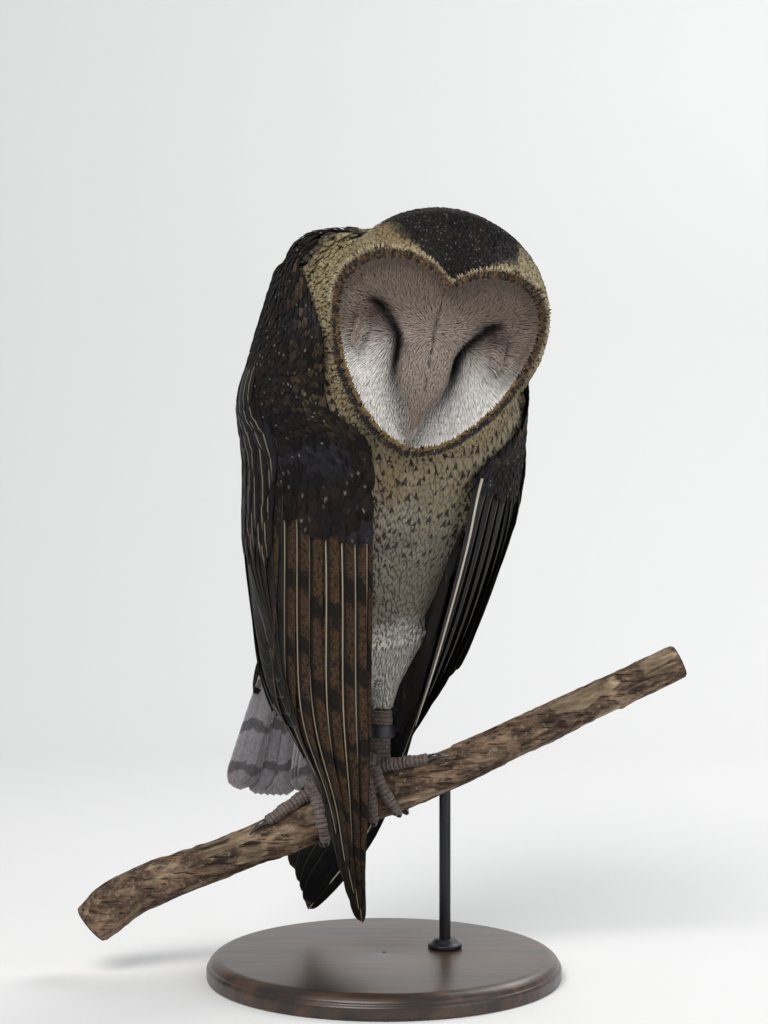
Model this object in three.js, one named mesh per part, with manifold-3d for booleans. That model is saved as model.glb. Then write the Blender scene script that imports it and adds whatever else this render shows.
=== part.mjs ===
// A mounted barn owl asleep on a cut branch, on a museum stand.
// Millimetres, +Z up. The origin is the middle of the stand's underside, and the bird is seen
// from its front right when looking along +Y.
import * as THREE from "three";
import { mergeVertices } from "three/addons/utils/BufferGeometryUtils.js";
import Module from "manifold-3d";

const wasm = await Module();
wasm.setup();

// ---------------------------------------------------------------- driving dimensions
const GAP = 0.35; // left between two pieces that touch
const EVEN = 0.2; // facets this close to flat are joined
const BODY_YAW = 34; // degrees the body is turned from -Y towards +X
const PERCH = [-16, 10, 102]; // point of the perch under the middle of the body

// Body stations: height over the perch, middle's distance ahead, half width, half depth.
const TRUNK = [
  [46, -2, 10, 9],
  [51, -1, 19, 17],
  [66, 2, 26, 25],
  [90, 7, 39, 35],
  [114, 14, 54, 42],
  [138, 23, 66, 48],
  [174, 33, 72, 51],
  [205, 36, 71, 50.5],
  [235, 35.5, 67, 47],
  [258, 32.5, 60, 41],
  [272, 30, 53, 34],
  [279, 29, 46, 28],
  [282, 28.5, 34, 20],
];
const NECK_FROM = 226; // height over the perch where the neck starts

// Head: where the middle of the facial disc is, and how it is turned (degrees).
const DISC = { at: [21.2, -92, 309], yaw: 6, down: 18, roll: 11.5 };
const SKULL = { across: 5, up: 16, back: 38, halfWidth: 56, halfHeight: 56, halfDepth: 50 };
// Right half of the heart-shaped disc from its notch to its lowest point: across, up.
const HEART = [
  [0, 40],
  [12, 48],
  [26, 50.5],
  [40, 46],
  [49, 34],
  [49.5, 19],
  [44, 1],
  [33, -18],
  [17, -34],
  [0, -41],
];
// Crease in which each closed eye lies, from its outer end down to the bill: across, up.
const CREASE = [
  [36, 27],
  [21, 22.5],
  [15, 13],
  [12.5, 3],
  [9, -14],
  [3, -29],
];
const EYE = { across: 19.5, up: 18, deep: -7.5, halfWidth: 8, halfHeight: 6.5, halfDepth: 5 };
const BILL = { length: 21, halfWidth: 4.6, halfHeight: 6.5 };

// Folded wings: front and back edge from shoulder to tip, how far the side bulges past the
// straight line between them (across the chord, along the length), and the thickness.
const RIGHT_WING = {
  side: -1,
  front: [
    [-43, -60, 364],
    [-31.4, -80, 326],
    [-29, -80.5, 292],
    [-9, -77, 271],
    [-8, -67, 232],
    [-8, -54, 196],
    [-9, -42, 150],
    [-9.5, -29, 100],
    [-11.5, -19, 60],
    [-10, -13, 29],
  ],
  back: [
    [-46, -8, 366],
    [-49, 3, 330],
    [-51, 6, 300],
    [-53, 9, 271],
    [-56, 14, 232],
    [-56, 18, 196],
    [-56, 13, 146],
    [-36, -9, 100],
    [-24, -13.5, 62],
    [-12, -13, 30],
  ],
  bulge: [9, 24, 32, 39, 39, 36, 27, 6, 2.5, 0.5],
};
const LEFT_WING = {
  side: 1,
  front: [
    [72, 2, 330],
    [75, -1, 302],
    [69, -18, 280],
    [47, -42, 257],
    [42.6, -35, 232],
    [36, -27, 206],
    [22.5, 7, 151],
    [8, 31, 106],
    [-11.3, 38.5, 57],
    [-42, 41, 22],
  ],
  back: [
    [14, 34, 364],
    [9, 43, 320],
    [7, 47, 290],
    [4, 49, 262],
    [-1, 52, 232],
    [-6, 54, 196],
    [-12, 52, 150],
    [-32, 50, 104],
    [-57, 48, 60],
    [-45, 42, 24],
  ],
  bulge: [12, 22, 38, 48, 48, 43, 34, 17, 5, 0.5],
};
const WING = { thick: 8, thickAtTip: 1.8, feathers: 8, step: 1.3 };
// Where the coverts end, at the front and back edge, and where the primaries part from the
// secondaries, high up and low down: shares of the way down the wing and round it.
const COVERTS_END = [
  [0.45, 0],
  [0.33, 1],
];
const PRIMARIES_END = [
  [0.45, 0.345],
  [0.69, 0.45],
];

const TAIL = {
  root: [-41, 36, 186],
  rootHalfWidth: 20,
  rightTip: [-90, 42, 88],
  leftTip: [-34, 80, 80],
  feathers: 5,
  thick: 5,
  thickAtTip: 1.4,
  roundEnd: 6,
};
const RUMP = { from: [-24, 22, 206], to: [-39, 38, 176], radius: 27, endRadius: 15 };

// Legs: distance to each side of the body's middle, and stations from belly to foot
// (height over the perch, distance ahead, radius).
const LEG_SIDE = 16;
const THIGH = [
  [84, 12, 22],
  [66, 8, 17],
  [50, 5, 10.5],
  [40, 3.5, 8.2],
  [34, 3, 7.2],
];
const SHANK = [
  [33.5, 3, 5.6],
  [24, 2, 5.2],
  [17, 1, 5.6],
];
const BAND = { low: 20, high: 26.5, radius: 7.5, bore: 6.2 };
const TOE = { radius: 3.7, endRadius: 2.7 };
// Where each toe starts and ends: its turn round the branch from the top towards the viewer,
// and its distance along the branch, outwards from the leg.
const TOES = {
  inner: { turn: [18, 128], along: [0, -7] },
  middle: { turn: [18, 132], along: [1, 6] },
  outer: { turn: [12, 42], along: [3, 30] },
  rear: { turn: [-18, -150], along: [0, 9] },
};
const CLAW = { length: 15, radius: 2 };

// Branch: middle line, with the radius at each point.
const BRANCH = [
  [-153, 5, 25, 11.4],
  [-139, 6, 37, 12.4],
  [-112, 8, 50, 11],
  [-81, 9, 61, 10.6],
  [-34, 10, 80, 11.6],
  [-2, 10, 92.4, 11.6],
  [20, 10, 100.8, 10.9],
  [50, 11, 113, 10.4],
  [113, 13, 142.5, 9.5],
  [156, 15, 162.5, 9.2],
];
const STAND = {
  radius: 92,
  height: 12,
  rodX: 32,
  rodY: 10.4,
  rodRadius: 3,
  rodInBranch: 7,
  collarRadius: 9,
  collarHeight: 5,
};

// ---------------------------------------------------------------- materials
const finish = (color, roughness, metalness = 0) =>
  new THREE.MeshStandardMaterial({ color, roughness, metalness });
const sootyFeather = finish(0x2e2a2b, 0.85);
const buffFeather = finish(0xb9a67c, 0.9);
const discFeather = finish(0xcbbfb6, 0.95);
const brownFeather = finish(0x4a3626, 0.8);
const tailFeather = finish(0x8d8791, 0.85);
const whiteDown = finish(0xd6cdba, 0.95);
const lidSkin = finish(0x3a2f2c, 0.6);
const billHorn = finish(0xc2aa9f, 0.45);
const toeSkin = finish(0x8f7f7a, 0.7);
const clawHorn = finish(0x1b1817, 0.3);
const bandMetal = finish(0x2b2c30, 0.45, 0.4);
const bark = finish(0x6b4a34, 0.85);
const standWood = finish(0x2a211c, 0.5);
const standMetal = finish(0x1c1c1d, 0.4, 0.8);

// ---------------------------------------------------------------- solids
const vec = (p) => new THREE.Vector3(p[0], p[1], p[2]);
const radians = THREE.MathUtils.degToRad;
const mix = THREE.MathUtils.lerp;
const ramp = THREE.MathUtils.smoothstep;

// A closed geometry as a solid, turned so that its faces point out.
function solidOf(geometry) {
  geometry.deleteAttribute("normal");
  geometry.deleteAttribute("uv");
  const merged = mergeVertices(geometry, 1e-3);
  const at = merged.attributes.position.array;
  const faces = new Uint32Array(merged.index.array);
  const make = () =>
    new wasm.Manifold(new wasm.Mesh({ numProp: 3, vertProperties: at, triVerts: faces }));
  const made = make();
  if (made.volume() > 0) return made;
  for (let i = 0; i < faces.length; i += 3) {
    [faces[i + 1], faces[i + 2]] = [faces[i + 2], faces[i + 1]];
  }
  return make();
}

// A solid whose surface runs through a row of rings. Each end is closed by a fan round its
// middle, or on a sheet, whose rings go out along one face and back along the other, by a
// strip between those faces.
function loft(rings, sheet = false) {
  const around = rings[0].length;
  const points = rings.flat();
  const faces = [];
  for (let i = 0; i + 1 < rings.length; i++) {
    for (let j = 0; j < around; j++) {
      const a = i * around + j;
      const b = i * around + ((j + 1) % around);
      faces.push(a, b, b + around, a, b + around, a + around);
    }
  }
  const last = (rings.length - 1) * around;
  for (const start of [0, last]) {
    const close = (a, b, c) => faces.push(...(start ? [a, b, c] : [b, a, c]));
    if (sheet) {
      for (let j = 0; j < around / 2 - 1; j++) {
        const [a, b] = [start + j, start + j + 1];
        const [c, d] = [start + around - 2 - j, start + around - 1 - j];
        close(a, b, c);
        close(a, c, d);
      }
      continue;
    }
    const middle = new THREE.Vector3();
    rings[start / around].forEach((p) => middle.addScaledVector(p, 1 / around));
    const hub = points.push(middle) - 1;
    for (let j = 0; j < around; j++) close(start + j, start + ((j + 1) % around), hub);
  }
  const geometry = new THREE.BufferGeometry().setFromPoints(points);
  geometry.setIndex(faces);
  return solidOf(geometry);
}

// Rows of numbers read as one smooth curve: between(rows)(t) is a row, for t from 0 to 1.
function between(rows) {
  const steps = rows.length - 1;
  return (t) => {
    const at = Math.min(Math.max(t, 0), 1) * steps;
    const i = Math.min(Math.floor(at), steps - 1);
    const f = at - i;
    const [p, q, r, s] = [i - 1, i, i + 1, i + 2].map(
      (k) => rows[Math.min(Math.max(k, 0), steps)],
    );
    return q.map((_, k) => {
      const m = (r[k] - p[k]) / 2;
      const n = (s[k] - q[k]) / 2;
      const rise = r[k] - q[k];
      return q[k] + f * (m + f * (3 * rise - 2 * m - n + f * (m + n - 2 * rise)));
    });
  };
}

// A round rod along rows of x, y, z, radius.
function rod(rows, steps, sides, grow = 0) {
  const row = between(rows);
  const rings = [];
  for (let i = 0; i <= steps; i++) {
    const t = i / steps;
    const here = row(t);
    const along = vec(row(t + 0.01)).sub(vec(row(t - 0.01))).normalize();
    const aside = new THREE.Vector3(0, 1, 0).addScaledVector(along, -along.y).normalize();
    const above = new THREE.Vector3().crossVectors(aside, along);
    const ring = [];
    for (let j = 0; j < sides; j++) {
      const turn = (2 * Math.PI * j) / sides;
      ring.push(
        vec(here)
          .addScaledVector(aside, (here[3] + grow) * Math.cos(turn))
          .addScaledVector(above, (here[3] + grow) * Math.sin(turn)),
      );
    }
    rings.push(ring);
  }
  return loft(rings);
}

const root = new THREE.Group();

// Adds a solid to the model as one named mesh.
function add(name, solid, material) {
  const { vertProperties, triVerts, numProp } = solid.simplify(EVEN).getMesh();
  const geometry = new THREE.BufferGeometry();
  const buffer = new THREE.InterleavedBuffer(vertProperties, numProp);
  geometry.setAttribute("position", new THREE.InterleavedBufferAttribute(buffer, 3, 0));
  geometry.setIndex(new THREE.BufferAttribute(triVerts, 1));
  const plain = geometry.toNonIndexed();
  plain.computeVertexNormals();
  const mesh = new THREE.Mesh(plain, material);
  mesh.name = name;
  root.add(mesh);
}

// The largest single body of a solid: booleans can leave crumbs.
const whole = (solid) =>
  solid.decompose().reduce((most, s) => (s.volume() > most.volume() ? s : most));

// ---------------------------------------------------------------- body frame
const ahead = new THREE.Vector3(
  Math.sin(radians(BODY_YAW)),
  -Math.cos(radians(BODY_YAW)),
  0,
);
const leftward = new THREE.Vector3(-ahead.y, ahead.x, 0);
const onBody = (forward, left, up) =>
  vec(PERCH)
    .addScaledVector(ahead, forward)
    .addScaledVector(leftward, left)
    .add(new THREE.Vector3(0, 0, up));

// Neck and trunk in one: level ellipses, slightly squared, up the leaning body.
function bodyLoft(grow = 0) {
  const station = between(TRUNK);
  const levels = 15;
  const sides = 20;
  const squared = 0.92;
  const rings = [];
  for (let i = 0; i <= levels; i++) {
    const [up, forward, halfWidth, halfDepth] = station(i / levels);
    const ring = [];
    for (let j = 0; j < sides; j++) {
      const turn = (2 * Math.PI * j) / sides;
      const c = Math.cos(turn);
      const s = Math.sin(turn);
      ring.push(
        onBody(
          forward + (halfDepth + grow) * Math.sign(c) * Math.abs(c) ** squared,
          (halfWidth + grow) * Math.sign(s) * Math.abs(s) ** squared,
          up + (i === levels ? grow : i === 0 ? -grow : 0),
        ),
      );
    }
    rings.push(ring);
  }
  return loft(rings);
}

// ---------------------------------------------------------------- head
const face = new THREE.Vector3(
  Math.sin(radians(DISC.yaw)) * Math.cos(radians(DISC.down)),
  -Math.cos(radians(DISC.yaw)) * Math.cos(radians(DISC.down)),
  -Math.sin(radians(DISC.down)),
);
const levelUp = new THREE.Vector3(0, 0, 1).addScaledVector(face, -face.z).normalize();
const crown = levelUp.clone().applyAxisAngle(face, -radians(DISC.roll));
const cheek = new THREE.Vector3().crossVectors(crown, face);
const onHead = (across, up, out) =>
  vec(DISC.at)
    .addScaledVector(cheek, across)
    .addScaledVector(crown, up)
    .addScaledVector(face, out);

const creaseAt = between(CREASE);

// How far a point of the face stands out of the disc's plane: two hollow halves folded back
// from a raised ridge that ends in the bill, with a deep crease on each side of it.
function faceHeight(across, up) {
  const side = Math.abs(across);
  let nearest = Infinity;
  let deep = 0;
  let inner = 1;
  for (let i = 0; i <= 24; i++) {
    const [cx, cy] = creaseAt(i / 24);
    const away = Math.hypot(side - cx, up - cy);
    if (away < nearest) {
      nearest = away;
      deep = ramp(i / 24, 0, 0.12) * mix(1, 0.25, ramp(i / 24, 0.55, 0.95));
      inner = side < cx || up > cy + 2 ? 1 : -1;
    }
  }
  const ridge = mix(1, 11, ramp(-up, -40, 8)) - (side / 22) ** 2 * 3;
  const hollow = -0.0042 * side * side + 1.5;
  const onRidge = 0.5 + 0.5 * Math.tanh((inner * nearest) / 3);
  const body = mix(hollow, Math.max(ridge, hollow - 1), onRidge * ramp(up, -44, -30));
  return body - 8 * deep * Math.exp(-((nearest / 3.2) ** 2));
}

function headSolid(grow = 0) {
  const half = between(HEART);
  const sides = 32;
  const outline = [];
  for (let j = 0; j < sides; j++) {
    const t = j / sides;
    const [across, up] = half(t < 0.5 ? 2 * t : 2 - 2 * t);
    outline.push([t < 0.5 ? across : -across, up]);
  }
  const middleUp = 8;
  const rings = [];
  for (const share of [0.12, 0.27, 0.42, 0.57, 0.73, 0.9, 1]) {
    const rim = 3.5 * ramp(share, 0.86, 0.96);
    rings.push(
      outline.map(([across, up]) => {
        const u = across * share;
        const v = mix(middleUp, up, share);
        const stretch = share === 1 ? 1 + grow / 45 : 1;
        return onHead(u * stretch, v * stretch, faceHeight(u, v) + rim + grow);
      }),
    );
  }
  for (const polar of [60, 82, 104, 126, 148, 166]) {
    const blend = ramp(polar, 48, 70);
    rings.push(
      outline.map(([across, up]) => {
        const turn = Math.atan2(across, up - SKULL.up);
        const spread = Math.sin(radians(polar));
        const u = SKULL.across + (SKULL.halfWidth + grow) * spread * Math.sin(turn);
        const v = SKULL.up + (SKULL.halfHeight + grow) * spread * Math.cos(turn);
        const w = -SKULL.back + (SKULL.halfDepth + grow) * Math.cos(radians(polar));
        const k = 1 + (3 + grow) / 50;
        return onHead(mix(across * k, u, blend), mix(up * k, v, blend), w);
      }),
    );
  }
  return loft(rings);
}

// An eyeball with its lids closed, lying in the crease.
function eyeSolid(side, grow = 0) {
  const ball = new THREE.SphereGeometry(1, 10, 6);
  ball.scale(EYE.halfWidth + grow, EYE.halfHeight + grow, EYE.halfDepth + grow);
  ball.applyMatrix4(new THREE.Matrix4().makeBasis(cheek, crown, face));
  const at = onHead(side * EYE.across, EYE.up, EYE.deep);
  ball.translate(at.x, at.y, at.z);
  return solidOf(ball);
}

// The bill: oval sections along an arc that leaves the ridge and hooks down.
function billSolid(grow = 0) {
  const rings = [];
  const steps = 6;
  for (let i = 0; i <= steps; i++) {
    const t = i / steps;
    const size = (1 - t ** 1.8 * 0.88) * 1;
    const up = -13 - BILL.length * t;
    const out = 6.5 + 5 * Math.sin(Math.PI * (0.2 + 0.62 * t));
    const ring = [];
    for (let j = 0; j < 10; j++) {
      const turn = (2 * Math.PI * j) / 10;
      const lift = (BILL.halfHeight * size + grow) * Math.sin(turn);
      ring.push(
        onHead(
          (BILL.halfWidth * size + grow) * Math.cos(turn),
          up + lift * 0.25,
          out + lift - BILL.halfHeight * size * 0.4,
        ),
      );
    }
    rings.push(ring);
  }
  return loft(rings);
}

// ---------------------------------------------------------------- wings and tail
// A point of a folded wing: a share of the way down it and a share of the way round from its
// front edge, measured along its arched side, and a distance out from that side.
function onWing(wing, down, round, out = 0) {
  const front = vec(between(wing.front)(down));
  const chord = vec(between(wing.back)(down)).sub(front);
  const [bulge] = between(wing.bulge.map((b) => [b]))(down);
  const away = new THREE.Vector3(wing.side * chord.y, -wing.side * chord.x, 0).normalize();
  const side = (u) =>
    front
      .clone()
      .addScaledVector(chord, u)
      .addScaledVector(away, bulge * 4 * u * (1 - u));
  const steps = 24;
  const lengths = [0];
  for (let i = 1; i <= steps; i++) {
    lengths.push(lengths[i - 1] + side(i / steps).distanceTo(side((i - 1) / steps)));
  }
  const goal = round * lengths[steps];
  let i = 0;
  while (i < steps - 1 && lengths[i + 1] < goal) i++;
  const u = (i + (goal - lengths[i]) / (lengths[i + 1] - lengths[i])) / steps;
  const tangent = side(u + 0.01).sub(side(u - 0.01));
  const normal = new THREE.Vector3(wing.side * tangent.y, -wing.side * tangent.x, 0);
  return side(u).addScaledVector(normal.normalize(), out);
}

// A folded wing: a curved sheet whose outer face is stepped like feathers that overlap and
// whose inner face is smooth. Grown, it is a cutter that clears the wing's inner face.
function wingSheet(wing, grow = 0) {
  const rows = 13;
  const points = grow ? 1 : 2;
  const columns = WING.feathers * points;
  const rings = [];
  for (let i = 0; i <= rows; i++) {
    const down = i / rows;
    const thick = mix(WING.thick, WING.thickAtTip, ramp(down, 0.35, 1));
    const step = WING.step * ramp(down, 0.25, 0.4);
    const outer = [];
    const inner = [];
    for (let j = 0; j <= columns; j++) {
      const lowEdge = j % points;
      const round = (Math.floor(j / points) + lowEdge * 0.86) / WING.feathers;
      const thin = Math.min(1, 9 * Math.min(round, 1 - round) + 0.35);
      const rise = step * (1 - lowEdge) * ramp(round, 0, 0.05) + (grow ? 3 : 0);
      outer.push(onWing(wing, down, round, rise));
      inner.push(onWing(wing, down, round, -thick * thin - 2.2 * grow));
    }
    for (const [edge, next] of [
      [0, points],
      [columns, columns - points],
    ]) {
      const over = outer[edge].clone().sub(outer[next]).setLength(3 * grow);
      outer[edge].add(over);
      inner[edge].add(over);
    }
    const ring = [...outer, ...inner.reverse()];
    if (i === 0) ring.forEach((p) => (p.z += 3 * grow));
    rings.push(ring);
  }
  return loft(rings, true);
}

// A plane across a wing through two places on its side, as a normal and a distance.
function acrossWing(wing, [from, to]) {
  const a = onWing(wing, ...from);
  const b = onWing(wing, ...to);
  const c = onWing(wing, ...from, 20);
  const normal = b.clone().sub(a).cross(c.sub(a)).normalize();
  return { normal, distance: normal.dot(a) };
}

// The part of a solid on one side of a plane, short of it by half a gap.
function beside(solid, { normal, distance }, side) {
  const facing = normal.clone().multiplyScalar(side);
  return solid.trimByPlane(facing.toArray(), side * distance + GAP / 2);
}

// Cuts a wing into its coverts, its secondaries and its primaries.
function splitWing(wing, solid) {
  const low = acrossWing(wing, COVERTS_END);
  const side = Math.sign(low.normal.z);
  const long = beside(solid, low, -side);
  const part = acrossWing(wing, PRIMARIES_END);
  const rear = Math.sign(part.normal.dot(onWing(wing, 0.45, 1)) - part.distance);
  return {
    coverts: whole(beside(solid, low, side)),
    secondaries: whole(beside(long, part, rear)),
    primaries: whole(beside(long, part, -rear)),
  };
}

// The tail: a fan of long feathers with rounded ends, each stepped over the next.
function tailSheet() {
  const start = vec(TAIL.root);
  const right = vec(TAIL.rightTip);
  const spread = vec(TAIL.leftTip).sub(right);
  const across = spread.clone().normalize();
  const middle = right.clone().addScaledVector(spread, 0.5);
  const along = middle.clone().sub(start).normalize();
  const behind = along.clone().cross(across).normalize();
  const rows = 4;
  const columns = TAIL.feathers * 4;
  const rings = [];
  for (let i = 0; i <= rows; i++) {
    const down = i / rows;
    const thick = mix(TAIL.thick, TAIL.thickAtTip, down);
    const outer = [];
    const inner = [];
    for (let j = 0; j <= columns; j++) {
      const t = j / columns;
      const onFeather = (j % 4) / 2 - 1;
      const round = TAIL.roundEnd * (1 - Math.sqrt(1 - onFeather ** 2)) * ramp(down, 0.8, 1);
      const from = start.clone().addScaledVector(across, (2 * t - 1) * TAIL.rootHalfWidth);
      const at = from.lerp(right.clone().addScaledVector(spread, t), down);
      at.addScaledVector(along, -round);
      const arch = 14 * Math.sin(Math.PI * down) * t * (1 - t);
      const step = 0.8 * (0.5 - Math.abs(onFeather) / 2);
      outer.push(at.clone().addScaledVector(behind, arch + thick / 2 + step));
      inner.push(at.clone().addScaledVector(behind, arch - thick / 2));
    }
    rings.push([...outer, ...inner.reverse()]);
  }
  return loft(rings, true);
}

// ---------------------------------------------------------------- legs and feet
const legRows = (rows, side) =>
  rows.map(([up, forward, radius]) => {
    const p = onBody(forward, side * LEG_SIDE, up);
    return [p.x, p.y, p.z, radius];
  });

// Height of the branch's middle, its slope and its radius at a given x.
function branchAt(x) {
  const row = between(BRANCH);
  let t = 0;
  while (row(t)[0] < x && t < 1) t += 0.002;
  const here = row(t);
  const next = vec(row(t + 0.02)).sub(vec(row(t - 0.02))).normalize();
  return { middle: vec(here), along: next, radius: here[3] };
}

// A point over the branch's skin: a turn round it from its top towards the viewer's side,
// a distance along it, and a distance out from its surface.
function overBranch(x, turn, along, out) {
  const at = branchAt(x + along * 0.93);
  const front = new THREE.Vector3(0, -1, 0);
  front.addScaledVector(at.along, -front.dot(at.along)).normalize();
  const top = new THREE.Vector3().crossVectors(at.along, front).negate();
  if (top.z < 0) top.negate();
  const reach = at.radius + out;
  return at.middle
    .clone()
    .addScaledVector(top, reach * Math.cos(radians(turn)))
    .addScaledVector(front, reach * Math.sin(radians(turn)));
}

function toePath(toe, side, from, to, steps) {
  const points = [];
  for (let i = 0; i <= steps; i++) {
    const t = mix(from, to, i / steps);
    const turn = mix(toe.turn[0], toe.turn[1], t);
    const along = mix(toe.along[0], toe.along[1], t) * side;
    points.push([turn, along, t]);
  }
  return points;
}

function toeSolid(x, side, toe, grow = 0) {
  const rows = toePath(toe, side, -0.08, 1 + grow / 20, 6).map(([turn, along, t]) => {
    const radius = mix(TOE.radius, TOE.endRadius, t) * (1 + 0.07 * Math.cos(t * 19));
    const p = overBranch(x, turn, along, radius + GAP);
    return [p.x, p.y, p.z, radius];
  });
  return rod(rows, 5, 6, grow);
}

// A claw carries its toe's arc on, rises over the bark and comes down to a point.
function clawSolid(x, side, toe) {
  const share = CLAW.length / (Math.abs(toe.turn[1] - toe.turn[0]) * 0.27 + 12);
  const rows = toePath(toe, side, 1.03, 1.03 + share * 0.55, 5).map(([turn, along, t], i) => {
    const k = i / 5;
    const radius = mix(CLAW.radius, 0.35, k ** 1.3);
    const lift = 1.6 + 2.2 * Math.sin(Math.PI * k) * (1 - 0.3 * k);
    const p = overBranch(x, turn, along, lift);
    return [p.x, p.y, p.z, radius];
  });
  return rod(rows, 5, 6);
}

function footSolid(side, x) {
  const pad = new THREE.SphereGeometry(1, 10, 7);
  pad.scale(7.4, 6.8, 6.6);
  const at = onBody(1, side * LEG_SIDE, 0);
  const seat = overBranch(x, 4, 0, 5.2);
  pad.translate(at.x, seat.y, seat.z);
  let foot = solidOf(pad);
  for (const toe of Object.values(TOES)) foot = foot.add(toeSolid(x, side, toe));
  return foot;
}

// ---------------------------------------------------------------- putting it together
const branch = rod(BRANCH, 19, 10);
const branchCutter = rod(BRANCH, 19, 10, GAP);
const branchOver = branchAt(STAND.rodX);
const rodTop =
  branchOver.middle.z - branchOver.radius + STAND.rodInBranch;

function upright(radius, low, high, sides) {
  const shape = new THREE.CylinderGeometry(radius, radius, high - low, sides);
  shape.rotateX(Math.PI / 2);
  shape.translate(0, 0, (low + high) / 2);
  return shape;
}

const rodSolid = (grow) => {
  const shape = upright(STAND.rodRadius + grow, STAND.height + GAP - grow, rodTop + grow, 16);
  shape.translate(STAND.rodX, STAND.rodY, 0);
  return solidOf(shape);
};
const collar = solidOf(
  new THREE.LatheGeometry(
    [
      [0, 0],
      [STAND.collarRadius, 0],
      [STAND.collarRadius, 2],
      [STAND.rodRadius + 2, STAND.collarHeight],
      [0, STAND.collarHeight],
    ].map(([r, z]) => new THREE.Vector2(r, z)),
    24,
  )
    .rotateX(Math.PI / 2)
    .translate(STAND.rodX, STAND.rodY, STAND.height + GAP),
);
const plinth = solidOf(
  new THREE.LatheGeometry(
    [
      [0, 0],
      [STAND.radius, 0],
      [STAND.radius, STAND.height - 4],
      [STAND.radius - 3, STAND.height - 1],
      [STAND.radius - 6, STAND.height],
      [0, STAND.height],
    ].map(([r, z]) => new THREE.Vector2(r, z)),
    40,
  ).rotateX(Math.PI / 2),
);
add("stand_base", plinth, standWood);
add("stand_collar", whole(collar.subtract(rodSolid(GAP))), standMetal);
add("stand_rod", rodSolid(0), standMetal);
add("perch_branch", whole(branch.subtract(rodSolid(GAP))), bark);

const head = headSolid();
const headCutter = headSolid(GAP);
const rightWing = wingSheet(RIGHT_WING);
const leftWing = wingSheet(LEFT_WING);
const wingCutter = wingSheet(RIGHT_WING, GAP).add(wingSheet(LEFT_WING, GAP)).simplify(0.45);
const tail = tailSheet();

let skull = head;
for (const side of [-1, 1]) skull = skull.subtract(eyeSolid(side, GAP));
skull = skull.subtract(billSolid(GAP)).subtract(wingCutter);
add("head", whole(skull), discFeather);
add("eye_right", eyeSolid(-1), lidSkin);
add("eye_left", eyeSolid(1), lidSkin);
add("bill", billSolid(), billHorn);

const body = bodyLoft().subtract(headCutter).subtract(wingCutter);
const neckAt = PERCH[2] + NECK_FROM;
add("neck", whole(body.trimByPlane([0, 0, 1], neckAt + GAP / 2)), buffFeather);
add("trunk", whole(body.trimByPlane([0, 0, -1], -neckAt + GAP / 2)), buffFeather);
const bodyCutter = bodyLoft(GAP);

const wings = { right: [RIGHT_WING, rightWing], left: [LEFT_WING, leftWing] };
for (const [side, [wing, solid]] of Object.entries(wings)) {
  const parts = splitWing(wing, solid);
  add(`wing_${side}_coverts`, parts.coverts, sootyFeather);
  add(`wing_${side}_secondaries`, parts.secondaries, sootyFeather);
  add(`wing_${side}_primaries`, parts.primaries, brownFeather);
}

const rumpRows = [
  [...RUMP.from, RUMP.radius],
  [...RUMP.to, RUMP.endRadius],
];
const rump = rod(rumpRows, 4, 14).subtract(bodyCutter).subtract(wingCutter);
add("rump", whole(rump), sootyFeather);
add("tail", whole(tail.subtract(rod(rumpRows, 4, 14, GAP)).subtract(bodyCutter)), tailFeather);

for (const [side, sign] of [
  ["right", -1],
  ["left", 1],
]) {
  const thigh = rod(legRows(THIGH, sign), 8, 14);
  add(`thigh_${side}`, whole(thigh.subtract(bodyCutter).subtract(wingCutter)), whiteDown);
  const footX = onBody(1, sign * LEG_SIDE, 0).x;
  const foot = footSolid(sign, footX).subtract(branchCutter);
  const shank = rod(legRows(SHANK, sign), 4, 12).subtract(foot);
  const footCutter = rod(legRows(SHANK, sign), 4, 12, GAP);
  add(`shank_${side}`, whole(shank), toeSkin);
  add(`foot_${side}`, whole(foot.subtract(footCutter)), toeSkin);
  Object.entries(TOES).forEach(([name, toe]) => {
    const claw = clawSolid(footX, sign, toe)
      .subtract(branchCutter)
      .subtract(toeSolid(footX, sign, toe, GAP));
    add(`claw_${side}_${name}`, whole(claw), clawHorn);
  });
}
const bandAt = onBody(1.7, LEG_SIDE, 0);
const band = solidOf(
  new THREE.LatheGeometry(
    [
      [BAND.bore, BAND.low],
      [BAND.radius, BAND.low],
      [BAND.radius, BAND.high],
      [BAND.bore, BAND.high],
      [BAND.bore, BAND.low],
    ].map(([r, z]) => new THREE.Vector2(r, z)),
    24,
  )
    .rotateX(Math.PI / 2)
    .translate(bandAt.x, bandAt.y, PERCH[2]),
);
add("leg_band", band, bandMetal);

export default root;
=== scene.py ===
# %% [markdown]
# # A mounted barn owl on its perch
# The owl dozes with closed eyes, its head slumped over a spotted breast and its long wings
# folded down past the branch. A bird like this is three layers: a skin that gives the body its
# form, small body feathers that lie on it like tiles, and long feathers of the wings and tail
# that are seen one by one. Each layer is a step of its own here.

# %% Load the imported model
import bpy
import numpy as np
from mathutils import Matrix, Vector
from mathutils.bvhtree import BVHTree
from mathutils.kdtree import KDTree


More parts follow.
